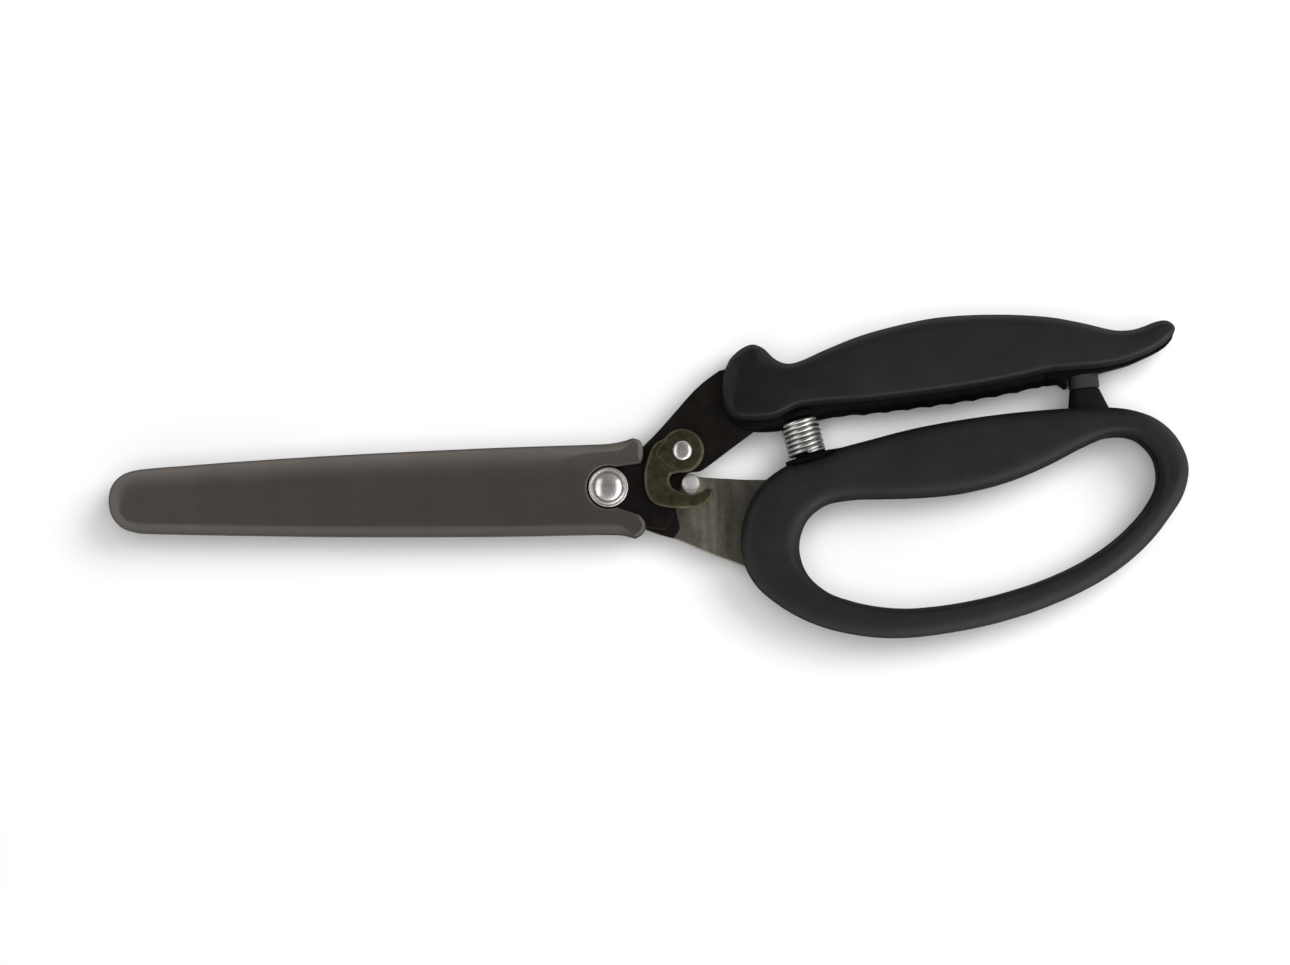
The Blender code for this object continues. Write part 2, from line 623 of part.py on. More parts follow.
def make_pivot():
    """The pivot screw, its dished ring, and the washer and nut on the back."""
    seat = SCREW_HEAD_FROM - GAP
    screw = turned_piece("pivot_screw", [
        (0, SCREW_FOOT), (SHANK_RADIUS - 0.3, SCREW_FOOT), (SHANK_RADIUS, SCREW_FOOT + 0.3),
        (SHANK_RADIUS, SCREW_HEAD_FROM), (SCREW_HEAD_RADIUS - 0.1, SCREW_HEAD_FROM),
        (SCREW_HEAD_RADIUS, SCREW_HEAD_FROM + 0.3), (SCREW_HEAD_RADIUS, SCREW_TOP - 0.6),
        (SCREW_HEAD_RADIUS - 0.5, SCREW_TOP), (2.0, SCREW_TOP), (1.7, SCREW_TOP - 0.5),
        (0, SCREW_TOP - 0.5)], UPRIGHT, BRIGHT_STEEL, 28)
    ring = turned_piece("pivot_ring", [
        (PIVOT_HOLE, RING[0]), (RING_RADIUS, RING[0]), (RING_RADIUS, RING[1] - 0.4),
        (RING_RADIUS - 0.35, RING[1]), (RING_RADIUS - 0.8, RING[1]), (3.9, seat),
        (PIVOT_HOLE, seat)], UPRIGHT, BRIGHT_STEEL, 32)
    washer = turned_piece("pivot_washer", ring_profile(PIVOT_HOLE, RING_RADIUS, *PIVOT_WASHER),
                          UPRIGHT, BRIGHT_STEEL, 28)
    low, high = PIVOT_NUT
    half = NUT_ACROSS_CORNERS / 2
    hexagon = arc(half, 0, 300, 5)
    hole = arc(PIVOT_HOLE, 0, 345, 23)
    nut = plate("pivot_nut", [(low, [inward(hexagon, 0.3), hole]),
                              (low + 0.3, [hexagon, hole]), (high, [hexagon, hole])],
                BRIGHT_STEEL)
    return [screw, ring, washer, nut]


def make_latch():
    outline = latch_outline()
    bm = bmesh.new()
    stack(bm, [(LATCH[0], [outline]), (LATCH[1], [outline])])
    latch = finish_mesh(bm, "latch_hook", *OLIVE_STEEL)
    bm = bmesh.new()
    turned(bm, [(0, LATCH[0] + 0.4), (EYE_PLATE_RADIUS, LATCH[0] + 0.4),
                (EYE_PLATE_RADIUS, LATCH_EYE_TOP - 0.3), (EYE_PLATE_RADIUS - 0.3, LATCH_EYE_TOP),
                (0, LATCH_EYE_TOP)], upright_at(RIVET_AT), 32)
    eye = finish_mesh(bm, "latch_eye_cutter", *OLIVE_STEEL)
    eye.hide_render = True
    eye.display_type = "WIRE"
    eye.location = PIVOT * MM
    join = latch.modifiers.new("eye", "BOOLEAN")
    join.operation = "UNION"
    join.solver = "EXACT"
    join.object = eye
    drill(latch, "latch_hole_cut", upright_at(RIVET_AT), RIVET_RADIUS + GAP, *THROUGH)
    return latch


def make_rivet():
    """The latch's rivet, and the washer that lifts the latch over the guard's mouth."""
    head_from = LATCH_EYE_TOP + GAP
    foot_to = FRONT_PLATE[0] - GAP
    radius = RIVET_HEAD_RADIUS
    rivet = turned_piece("latch_rivet", [
        (0, RIVET_FOOT), (RIVET_FOOT_RADIUS - 0.3, RIVET_FOOT),
        (RIVET_FOOT_RADIUS, RIVET_FOOT + 0.3), (RIVET_FOOT_RADIUS, foot_to),
        (RIVET_RADIUS, foot_to), (RIVET_RADIUS, head_from),
        (radius, head_from), (radius * 0.88, head_from + 0.45),
        (radius * 0.6, RIVET_TOP - 0.12), (0, RIVET_TOP)], upright_at(RIVET_AT), BRIGHT_STEEL)
    spacer = turned_piece("latch_spacer",
                          ring_profile(RIVET_RADIUS + GAP, SPACER_RADIUS, *LATCH_SPACER),
                          upright_at(RIVET_AT), BLACK_STEEL)
    return [rivet, spacer]


def make_catch_pin():
    """The pin on the lower lever that the latch's hook closes round."""
    foot_to, head_from = BACK_PLATE[0] - GAP, BACK_PLATE[1] + GAP
    return turned_piece("catch_pin", [
        (0, CATCH_FOOT), (CATCH_FOOT_RADIUS - 0.3, CATCH_FOOT),
        (CATCH_FOOT_RADIUS, CATCH_FOOT + 0.25), (CATCH_FOOT_RADIUS, foot_to),
        (CATCH_SHANK, foot_to), (CATCH_SHANK, head_from), (CATCH_RADIUS, head_from),
        (CATCH_RADIUS, CATCH_TOP - 0.4), (CATCH_RADIUS - 0.5, CATCH_TOP), (0, CATCH_TOP)],
        upright_at(CATCH_AT), BRIGHT_STEEL)


def make_guard():
    """The blade guard: a U-shaped sheath, open along its upper edge and at the mouth."""
    outline = guard_outline()
    low, high = GUARD_OUTSIDE
    shape = [(0.0, 1.9), (0.3, 0.8), (0.9, 0.0)]     # rise, inset of its rounded edges
    levels = [(low + rise, [inward(outline, inset)]) for rise, inset in shape]
    levels += [(high - rise, [inward(outline, inset)]) for rise, inset in reversed(shape)]
    guard = plate("blade_guard", levels, GUARD_PLASTIC)
    cavity = guard_cavity()
    cut(guard, "blade_guard_cavity_cut",
        lambda bm: stack(bm, [(GUARD_INSIDE[0], [cavity]), (GUARD_INSIDE[1], [cavity])]))
    return guard


def main():
    for old in list(bpy.data.objects):
        bpy.data.objects.remove(old, do_unlink=True)

    front_blade = make_blade("front_blade", front_blade_outline, FRONT_PLATE, True, BLACK_STEEL)
    drill(front_blade, "front_blade_latch_cut", upright_at(RIVET_AT), RIVET_RADIUS + GAP,
          *THROUGH)
    drill_for_rivets(front_blade, UPPER_TANG_RIVETS)
    back_blade = make_blade("back_blade", back_blade_outline, BACK_PLATE, False, SATIN_STEEL)
    drill(back_blade, "back_blade_catch_cut", upright_at(CATCH_AT), CATCH_SHANK + GAP,
          *THROUGH, 14)
    drill_for_rivets(back_blade, LOWER_TANG_RIVETS)

    origin = Vector((0, 0, 0))
    place([front_blade, *make_upper_handle(), *make_pivot(), *make_rivet(), make_spring()],
          ("upper_lever_frame", origin))
    place([back_blade, *make_lower_handle(), make_catch_pin()], ("lower_lever_axis", origin))
    place([make_latch()], ("latch_axis", RIVET_AT.copy()))
    place([make_guard()], ("guard_axis", origin))


main()
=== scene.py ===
"""Looks for the poultry shears: fine meshes, materials, light and camera.

Lengths are millimetres measured from the pivot in X and Y, and from the surface that
the shears lie on in Z.  Every piece is scaled to metres and moved to the pivot as it
is made.  Layer heights and the pivot's place are read from the frame.
"""
import json
from math import cos, pi, radians, sin, tan

import bmesh
import bpy
import numpy as np
from mathutils import Matrix, Vector
from mathutils.geometry import delaunay_2d_cdt


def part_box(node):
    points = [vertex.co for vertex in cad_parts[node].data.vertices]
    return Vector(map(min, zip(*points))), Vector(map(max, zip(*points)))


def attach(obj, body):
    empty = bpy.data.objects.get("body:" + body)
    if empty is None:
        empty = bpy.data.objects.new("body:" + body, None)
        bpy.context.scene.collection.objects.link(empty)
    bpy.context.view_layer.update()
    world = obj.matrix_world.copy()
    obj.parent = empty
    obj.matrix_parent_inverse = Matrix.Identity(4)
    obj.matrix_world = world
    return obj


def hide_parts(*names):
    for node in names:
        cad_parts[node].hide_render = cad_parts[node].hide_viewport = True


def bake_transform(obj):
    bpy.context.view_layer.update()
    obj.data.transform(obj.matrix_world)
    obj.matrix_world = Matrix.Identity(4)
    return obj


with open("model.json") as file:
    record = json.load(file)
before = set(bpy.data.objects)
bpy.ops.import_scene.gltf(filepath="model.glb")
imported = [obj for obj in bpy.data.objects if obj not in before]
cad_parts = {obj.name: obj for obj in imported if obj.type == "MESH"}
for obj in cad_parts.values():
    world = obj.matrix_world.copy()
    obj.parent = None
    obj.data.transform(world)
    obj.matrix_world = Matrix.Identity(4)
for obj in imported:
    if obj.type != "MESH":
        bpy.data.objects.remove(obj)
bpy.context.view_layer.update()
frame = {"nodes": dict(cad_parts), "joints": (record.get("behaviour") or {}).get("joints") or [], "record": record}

MM = 0.001
JOINTS = {joint["name"]: joint for joint in frame["joints"]}
HINGE = Vector(JOINTS["handle_hinge"]["pos_m"]) / MM
PIVOT = Vector((HINGE.x, HINGE.y, 0))
MIDDLE = HINGE.z
RIVET_AT = Vector(JOINTS["latch_turn"]["pos_m"]) / MM - PIVOT
BODY_OF = {node: body for body, nodes in frame["record"]["behaviour"]["bodies"].items()
           for node in nodes}


def layer(node):
    """The lowest and highest level of a CAD node."""
    low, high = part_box(node)
    return low.z / MM, high.z / MM


def centre(node):
    """The middle of a CAD node's box, from the pivot."""
    low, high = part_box(node)
    return (low + high) / (2 * MM) - PIVOT


# ---------------- outlines

SPACING = 0.7
FINE_SPACING = 0.1
SAME_POINT = 0.1
STEPS_PER_SPAN = 24


def run(points, spacing=SPACING):
    """A smooth open curve through points, as evenly spaced points."""
    p = np.array([points[0], *points, points[-1]], float)
    t = np.linspace(0, 1, STEPS_PER_SPAN, endpoint=False)[:, None]
    spans = [0.5 * (2 * b + (c - a) * t + (2 * a - 5 * b + 4 * c - d) * t ** 2
                    + (3 * b - a - 3 * c + d) * t ** 3)
             for a, b, c, d in zip(p, p[1:], p[2:], p[3:])]
    return evenly(np.vstack([*spans, p[-1:]]), spacing)


def evenly(line, spacing):
    """The same line with points at even steps along it."""
    far = np.concatenate([[0], np.cumsum(np.linalg.norm(np.diff(line, axis=0), axis=1))])
    count = max(1, round(far[-1] / spacing))
    at = np.linspace(0, far[-1], count + 1)
    return np.column_stack([np.interp(at, far, line[:, k]) for k in (0, 1)])


def ring(points, spacing=SPACING):
    """A smooth closed curve through points."""
    whole = run([*points[-2:], *points, *points[:2]], FINE_SPACING)
    target = np.array(points[0], float)
    half = len(whole) // 2
    first = np.argmin(np.linalg.norm(whole[:half] - target, axis=1))
    last = half + np.argmin(np.linalg.norm(whole[half:] - target, axis=1))
    return evenly(whole[first:last + 1], spacing)[:-1]


def arc(radius, start, end, middle=(0, 0), spacing=SPACING):
    """Points on a circle, from start to end degrees."""
    length = abs(radians(end - start)) * radius
    angles = np.radians(np.linspace(start, end, max(2, round(length / spacing)) + 1))
    return np.column_stack([middle[0] + radius * np.cos(angles),
                            middle[1] + radius * np.sin(angles)])


def circle(radius, middle=(0, 0), spacing=SPACING):
    return arc(radius, 0, 360, middle, spacing)[:-1]


def joined(*runs):
    """One closed outline from runs laid end to end, and the number of each point's run."""
    points, which = [], []
    for number, line in enumerate(runs):
        for p in line:
            if not points or np.linalg.norm(p - points[-1]) > SAME_POINT:
                points.append(p)
                which.append(number)
    while np.linalg.norm(points[0] - points[-1]) <= SAME_POINT:
        points.pop()
        which.pop()
    return np.array(points), np.array(which)


def ramp(value, start, end):
    """A smooth step from 0 at start to 1 at end."""
    t = np.clip((value - start) / (end - start), 0, 1)
    return t * t * (3 - 2 * t)


def area(points):
    """The area inside a closed ring, below 0 where the ring runs clockwise."""
    after = np.roll(points, -1, 0)
    return (points[:, 0] * after[:, 1] - after[:, 0] * points[:, 1]).sum() / 2


def inward(line, hole=False):
    """The unit step into the material at each point of a closed ring."""
    ahead = np.roll(line, -1, 0) - np.roll(line, 1, 0)
    ahead /= np.linalg.norm(ahead, axis=1)[:, None]
    turn = -1 if (area(line) > 0) == hole else 1
    return np.column_stack([-ahead[:, 1], ahead[:, 0]]) * turn


SHARE = 0.82
LEAST_DEPTH = 0.02
MUCH_ROOM = 1e3
NEIGHBOURS = (-2, -1, 0, 1, 2)


def steps_in(rings, reaches, shares=None):
    """For each closed ring, the step into the material at every point.

    The first ring is the outside and the others are holes.  A step is as long as reach,
    or a share of the room where the material is too narrow: the room at a point is the
    radius of the largest circle in the material that touches it there.
    """
    every = np.vstack(rings)
    steps = []
    for number, (line, reach) in enumerate(zip(rings, reaches)):
        share = SHARE if shares is None else shares[number]
        inside = inward(line, number > 0)
        gap = every[None] - line[:, None]
        depth = np.einsum("ijk,ik->ij", gap, inside)
        squared = (gap ** 2).sum(2)
        radius = squared / (2 * np.maximum(depth, LEAST_DEPTH))
        room = np.where(depth > LEAST_DEPTH, radius, MUCH_ROOM).min(1)
        room = np.minimum.reduce([np.roll(room, k) for k in NEIGHBOURS])
        room = np.mean([np.roll(room, k) for k in NEIGHBOURS], axis=0)
        steps.append(inside * np.minimum(reach, share * room)[:, None])
    return steps


# ---------------- meshes

def rounded(steps, top=90.0):
    """An edge profile as (share of the reach, share of the drop), up to top degrees."""
    angles = [radians(top) * k / steps for k in range(steps + 1)]
    return [((1 - cos(a)) / (1 - cos(angles[-1])), sin(a) / sin(angles[-1])) for a in angles]


SHARP_EDGE = [(0.0, 0.0), (0.4, 0.7), (1.0, 1.0)]
GROUND_EDGE = [(0.0, 0.0), (0.5, 0.5), (1.0, 1.0)]
CROWN_SPREAD = 6.0
MERGE = 1e-7


class Solid:
    """The points and faces of a piece, in millimetres from the pivot."""

    def __init__(self):
        self.points = []
        self.faces = []

    def add(self, points):
        first = len(self.points)
        self.points.extend(tuple(p) for p in points)
        return list(range(first, len(self.points)))

    def level(self, line, height):
        return self.add(np.column_stack([line, np.broadcast_to(height, len(line))]))

    def bridge(self, low, high):
        count = len(low)
        for k in range(count):
            n = (k + 1) % count
            self.faces.append((low[k], low[n], high[n], high[k]))

    def cap(self, rings, spacing=0.0, crown=0.0):
        """Close the space between rings, over a grid of points that swells by crown."""
        at = np.array([self.points[k] for line in rings for k in line])
        flat, owner = at[:, :2], [k for line in rings for k in line]
        edges, first = [], 0
        for line in rings:
            count = len(line)
            edges += [(first + k, first + (k + 1) % count) for k in range(count)]
            first += count
        if spacing:
            inner = grid_inside(flat, edges, spacing)
            nearest = np.array([np.min(((flat - p) ** 2).sum(1)) for p in inner]) ** 0.5
            base = np.array([at[np.argmin(((flat - p) ** 2).sum(1)), 2] for p in inner])
            rise = 1 - (1 - np.minimum(nearest / CROWN_SPREAD, 1)) ** 2
            owner += self.add(np.column_stack([inner, base + crown * rise]))
            flat = np.vstack([flat, inner])
        made = delaunay_2d_cdt([Vector(p) for p in flat], edges, [], 1, MERGE)
        name = []
        for spot, source in zip(made[0], made[3]):
            if source:
                name.append(owner[source[0]])
            else:
                name += self.add([(*spot, at[0, 2])])
        middles = np.array([sum((made[0][k] for k in face), Vector((0, 0))) / len(face)
                            for face in made[2]])
        wanted = inside_of(middles, flat, edges)
        self.faces += [tuple(name[k] for k in face)
                       for face, keep in zip(made[2], wanted) if keep]


LEVEL_RISE = 1e-12
ROW_STEP = 0.866
EDGE_CLEARANCE = 0.6


def inside_of(spots, line, edges):
    """Which spots lie inside closed rings, holes left out."""
    a = line[[e[0] for e in edges]]
    b = line[[e[1] for e in edges]]
    x, y = spots[:, :1], spots[:, 1:]
    spans = (a[:, 1] > y) != (b[:, 1] > y)
    rise = b[:, 1] - a[:, 1]
    rise = np.where(np.abs(rise) > LEVEL_RISE, rise, 1.0)
    cross = a[:, 0] + (y - a[:, 1]) * (b[:, 0] - a[:, 0]) / rise
    return (spans & (x < cross)).sum(1) % 2 == 1


def grid_inside(line, edges, spacing):
    """Points of a triangular grid inside closed rings, clear of their edges."""
    low, high = line.min(0), line.max(0)
    rows = np.arange(low[1], high[1], spacing * ROW_STEP)
    columns = np.arange(low[0], high[0], spacing)
    spots = np.array([(x + spacing / 2 * (k % 2), y)
                      for k, y in enumerate(rows) for x in columns])
    spots = spots[inside_of(spots, line, edges)]
    least = (EDGE_CLEARANCE * spacing) ** 2
    clear = [np.min(((line - p) ** 2).sum(1)) > least for p in spots]
    return spots[np.array(clear, bool)]


def layered(rings, low, high, low_edge, high_edge, grid=0.0, crown=(0.0, 0.0), waves=None,
            shares=None):
    """A layer between two levels whose two faces have shaped edges.

    An edge is (reach for each ring, drop for each ring, profile).  Crown is how far each
    face swells in its middle; waves move the outer wall and fade towards the faces.
    """
    solid = Solid()
    levels = []
    for (reaches, drops, profile), face, way, swell in (
            (low_edge, low, 1, crown[0]), (high_edge, high, -1, crown[1])):
        steps = steps_in(rings, reaches, shares)
        part = []
        for across, rise in profile:
            made = []
            for number, (line, step, drop) in enumerate(zip(rings, steps, drops)):
                at = line + step * across
                if waves is not None and number == 0:
                    at = at + waves * (1 - across)
                made.append(solid.level(at, face + way * (swell + drop * (1 - rise))))
            part.append(made)
        levels.append((part, way * -swell))
    (bottom, sink), (top, swell) = levels
    stack = bottom[::-1] + top
    for below, above in zip(stack, stack[1:]):
        for a, b in zip(below, above):
            solid.bridge(a, b)
    solid.cap(stack[0], grid, sink)
    solid.cap(stack[-1], grid, swell)
    return solid


def turned(profile, place, sides=64):
    """A solid turned about its place's Z axis; profile runs (radius, height) upward."""
    solid = Solid()
    angles = [2 * pi * k / sides for k in range(sides)]
    rings = []
    for radius, height in profile:
        if radius == 0:
            rings.append(solid.add([place @ Vector((0, 0, height))]))
        else:
            rings.append(solid.add(place @ Vector((radius * cos(a), radius * sin(a), height))
                                   for a in angles))
    pairs = list(zip(rings, rings[1:]))
    if profile[0][0] > 0:
        pairs.append((rings[-1], rings[0]))
    for low, high in pairs:
        for k in range(sides):
            n = (k + 1) % sides
            corners = [low[k % len(low)], low[n % len(low)],
                       high[n % len(high)], high[k % len(high)]]
            solid.faces.append(tuple(dict.fromkeys(corners)))
    return solid


SMOOTH = 32.0


def build(name, solid, smooth=SMOOTH):
    """A mesh object made from a solid, sharp where faces meet at more than smooth degrees."""
    mesh = bpy.data.meshes.new(name)
    points = [((Vector(p) + PIVOT) * MM) for p in solid.points]
    mesh.from_pydata(points, [], solid.faces)
    bm = bmesh.new()
    bm.from_mesh(mesh)
    loose = [v for v in bm.verts if not v.link_faces]
    bmesh.ops.delete(bm, geom=loose, context="VERTS")
    bmesh.ops.recalc_face_normals(bm, faces=bm.faces)
    bm.to_mesh(mesh)
    bm.free()
    mesh.shade_smooth()
    mesh.set_sharp_from_angle(angle=radians(smooth))
    piece = bpy.data.objects.new(name, mesh)
    bpy.context.scene.collection.objects.link(piece)
    return piece


def cut(piece, cutter):
    """Cut a solid out of a piece and leave a plain mesh."""
    tool = build(piece.name + "_tool", cutter)
    modifier = piece.modifiers.new("cut", "BOOLEAN")
    modifier.operation = "DIFFERENCE"
    modifier.solver = "EXACT"
    modifier.object = tool
    made = bpy.data.meshes.new_from_object(
        piece.evaluated_get(bpy.context.evaluated_depsgraph_get()))
    piece.modifiers.clear()
    piece.data = made
    made.shade_smooth()
    made.set_sharp_from_angle(angle=radians(SMOOTH))
    bpy.data.objects.remove(tool)
    return piece


def settle(piece, node, material):
    """Let a piece stand for a CAD node: its body and its material."""
    piece.data.materials.clear()
    piece.data.materials.append(material)
    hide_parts(node)
    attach(piece, BODY_OF[node])
    return piece


def stand_for(node, solid, material, name=None, smooth=SMOOTH):
    """A piece made from a solid, which stands for a CAD node."""
    return settle(build(name or node + "_fine", solid, smooth), node, material)


# ---------------- materials

class Look:
    """A material being put together from nodes."""

    def __init__(self, name):
        self.material = bpy.data.materials.new(name)
        self.material.use_nodes = True
        self.tree = self.material.node_tree
        self.shader = self.tree.nodes["Principled BSDF"]
        spots = self.node("ShaderNodeTexCoord")
        self.place, self.facing = spots.outputs["Object"], spots.outputs["Normal"]

    def node(self, kind, **values):
        made = self.tree.nodes.new(kind)
        for name, value in values.items():
            setattr(made, name, value)
        return made

    def link(self, source, target):
        self.tree.links.new(source, target)

    def set(self, **values):
        for name, value in values.items():
            socket = self.shader.inputs[name.replace("_", " ")]
            socket.default_value = (*value, 1.0) if isinstance(value, tuple) else value

    def noise(self, scale, detail=2.0, roughness=0.5, stretch=(1, 1, 1)):
        """Noise over the piece, stretched along an axis where its value is small."""
        mapping = self.node("ShaderNodeMapping")
        mapping.inputs["Scale"].default_value = stretch
        self.link(self.place, mapping.inputs["Vector"])
        texture = self.node("ShaderNodeTexNoise")
        texture.inputs["Scale"].default_value = scale
        texture.inputs["Detail"].default_value = detail
        texture.inputs["Roughness"].default_value = roughness
        self.link(mapping.outputs["Vector"], texture.inputs["Vector"])
        return texture.outputs["Fac"]

    def spread(self, source, low, high, start=0.3, end=0.7):
        """A value remapped from start..end to low..high."""
        made = self.node("ShaderNodeMapRange")
        for name, value in (("From Min", start), ("From Max", end),
                            ("To Min", low), ("To Max", high)):
            made.inputs[name].default_value = value
        self.link(source, made.inputs["Value"])
        return made.outputs["Result"]

    def mixed(self, factor, first, second, start=0.35, end=0.65):
        """A colour that runs from first to second as factor runs from start to end."""
        made = self.node("ShaderNodeValToRGB")
        for stop, at, colour in zip(made.color_ramp.elements, (start, end), (first, second)):
            stop.position = at
            stop.color = (*colour, 1.0)
        self.link(factor, made.inputs["Fac"])
        return made.outputs["Color"]

    def level(self):
        """How level a face lies: 1 on a flat face and 0 on a wall."""
        split = self.node("ShaderNodeSeparateXYZ")
        self.link(self.facing, split.inputs["Vector"])
        flat = self.node("ShaderNodeMath", operation="ABSOLUTE")
        self.link(split.outputs["Z"], flat.inputs[0])
        return flat.outputs["Value"]

    def along(self, axis="X"):
        """The place along an axis of the frame, in metres."""
        split = self.node("ShaderNodeSeparateXYZ")
        self.link(self.place, split.inputs["Vector"])
        return split.outputs[axis]

    def added(self, first, second):
        made = self.node("ShaderNodeMath", operation="ADD")
        self.link(first, made.inputs[0])
        self.link(second, made.inputs[1])
        return made.outputs["Value"]

    def colour(self, source, *factors):
        """The base colour, scaled by any factors."""
        for factor in factors:
            made = self.node("ShaderNodeVectorMath", operation="SCALE")
            self.link(source, made.inputs[0])
            self.link(factor, made.inputs["Scale"])
            source = made.outputs["Vector"]
        self.link(source, self.shader.inputs["Base Color"])

    def rough(self, source, walls=0.0):
        """The roughness, and how much more of it there is on the walls."""
        if walls:
            source = self.added(source, self.spread(self.level(), walls, 0.0, 0.30, 0.75))
        self.link(source, self.shader.inputs["Roughness"])

    def bump(self, *heights, distance):
        """Surface relief from one or more height sources, added together; metres deep."""
        total = heights[0]
        for height in heights[1:]:
            total = self.added(total, height)
        made = self.node("ShaderNodeBump")
        made.inputs["Distance"].default_value = distance
        self.link(total, made.inputs["Height"])
        self.link(made.outputs["Normal"], self.shader.inputs["Normal"])


def shade(colour, factor):
    return tuple(c * factor for c in colour)


def soft_black(name="soft_touch_black", nose_shade=1.0):
    """Soft-touch grip rubber: a very fine grain, painted shade on its steep walls, and painted shade that may
    darken its nose.
    """
    look = Look(name)
    body = (0.0091, 0.0083, 0.0084)
    look.set(Specular_IOR_Level=0.34)
    # Painted shade in the colour: steep walls are darkened, and the nose is darkened when its factor is below 1.
    look.colour(look.mixed(look.noise(90, 4, 0.6), shade(body, 0.86), shade(body, 1.14)),
                look.spread(look.level(), 0.3, 1.0, 0.3, 0.8),
                look.spread(look.along(), nose_shade, 1.0, 0.022, 0.055))
    look.rough(look.spread(look.noise(240, 3), 0.45, 0.53), 0.40)
    look.bump(look.spread(look.noise(2600, 2), 0, 1), look.spread(look.noise(900, 2), 0, 0.5),
              distance=0.000022)
    return look.material


def hard_black(name="moulded_black", body=(0.0016, 0.0014, 0.0014)):
    """Hard moulded plastic, darker and finer than the grip."""
    look = Look(name)
    look.set(Specular_IOR_Level=0.08)
    look.colour(look.mixed(look.noise(140, 3), shade(body, 0.8), shade(body, 1.2)))
    look.rough(look.spread(look.noise(500, 3), 0.50, 0.64), 0.3)
    look.bump(look.spread(look.noise(3200, 2), 0, 1), distance=0.000015)
    return look.material


def stop_rubber():
    """The bumper's dull rubber, paler than the grips."""
    look = Look("bumper_rubber")
    body = (0.0260, 0.0250, 0.0240)
    look.set(Specular_IOR_Level=0.25)
    look.colour(look.mixed(look.noise(300, 4, 0.7), shade(body, 0.75), shade(body, 1.2)))
    look.rough(look.spread(look.noise(700, 3), 0.6, 0.8))
    look.bump(look.spread(look.noise(1800, 3), 0, 1), distance=0.00003)
    return look.material


def black_steel():
    """Satin black coating over brushed steel, with the brushing still faintly felt."""
    look = Look("coated_black_steel")
    look.set(Specular_IOR_Level=0.14)
    look.colour(look.mixed(look.noise(220, 5, 0.65),
                           (0.0030, 0.0023, 0.0018), (0.0062, 0.0048, 0.0038)))
    look.rough(look.spread(look.noise(320, 4, 0.6, (0.3, 1, 1)), 0.40, 0.56), 0.4)
    look.bump(look.spread(look.noise(1200, 3, 0.5, (0.12, 1, 1)), 0, 1), distance=0.000008)
    return look.material


def gunmetal():
    """The lower lever's satin steel: warm dark grey, lighter just behind the catch pin, with painted shade towards
    the loop and on its steep walls.
    """
    look = Look("gunmetal_steel")
    look.set(Metallic=1.0)
    # The colour is lighter just behind the catch pin and darker to its left; towards the loop it carries painted
    # shade, and painted shade darkens the steep walls.
    x = look.along()
    lighter_behind_pin = look.spread(x, 0.72, 1.25, 0.008, 0.014)
    painted_shade_by_loop = look.spread(x, 1.0, 0.62, 0.015, 0.024)
    look.colour(look.mixed(look.noise(260, 5, 0.7), (0.290, 0.265, 0.215),
                           (0.430, 0.400, 0.330)),
                lighter_behind_pin, painted_shade_by_loop, look.spread(look.level(), 0.35, 1.0, 0.4, 0.9))
    look.rough(look.spread(look.noise(500, 4, 0.6, (1, 0.12, 1)), 0.36, 0.54))
    look.bump(look.spread(look.noise(2200, 3, 0.5, (1, 0.06, 1)), 0, 1), distance=0.000006)
    return look.material


def olive_steel():
    """The latch: case-hardened steel with a blotchy olive and brown bloom, and a painted highlight on its bevels.
    """
    look = Look("olive_latch_steel")
    look.set(Metallic=0.85, Specular_IOR_Level=0.5)
    # Steep faces and bevels are lifted in colour: a painted highlight on the latch's edges.
    look.colour(look.mixed(look.noise(420, 5, 0.65), (0.040, 0.034, 0.019),
                           (0.095, 0.085, 0.053), 0.3, 0.7),
                look.spread(look.level(), 1.6, 1.0, 0.72, 0.985))
    look.rough(look.spread(look.noise(650, 4, 0.6), 0.34, 0.52))
    look.bump(look.spread(look.noise(1500, 3), 0, 1), look.spread(look.noise(500, 2), 0, 1),
              distance=0.00002)
    return look.material


def bright_steel(name="polished_steel", roughness=0.24):
    """Polished fastener steel with a few dull blotches."""
    look = Look(name)
    look.set(Metallic=0.85)
    look.colour(look.mixed(look.noise(500, 4, 0.6), (0.64, 0.615, 0.60), (0.76, 0.74, 0.73)))
    look.rough(look.spread(look.noise(900, 4, 0.6), roughness - 0.04, roughness + 0.04))
    look.bump(look.spread(look.noise(900, 2), 0, 1), distance=0.000001)
    return look.material


def spring_steel():
    """Bright drawn wire, slightly mottled, with painted shade on the flanks of the coil."""
    look = Look("bright_spring_wire")
    look.set(Metallic=1.0)
    # The level factor darkens steep faces: painted shade on the coil's flanks.
    look.colour(look.mixed(look.noise(700, 3, 0.6), (0.66, 0.64, 0.62), (0.86, 0.85, 0.83)),
                look.spread(look.level(), 0.10, 1.0, 0.10, 0.65))
    look.rough(look.spread(look.noise(1400, 3), 0.32, 0.42))
    look.bump(look.spread(look.noise(1500, 2), 0, 1), distance=0.000001)
    return look.material


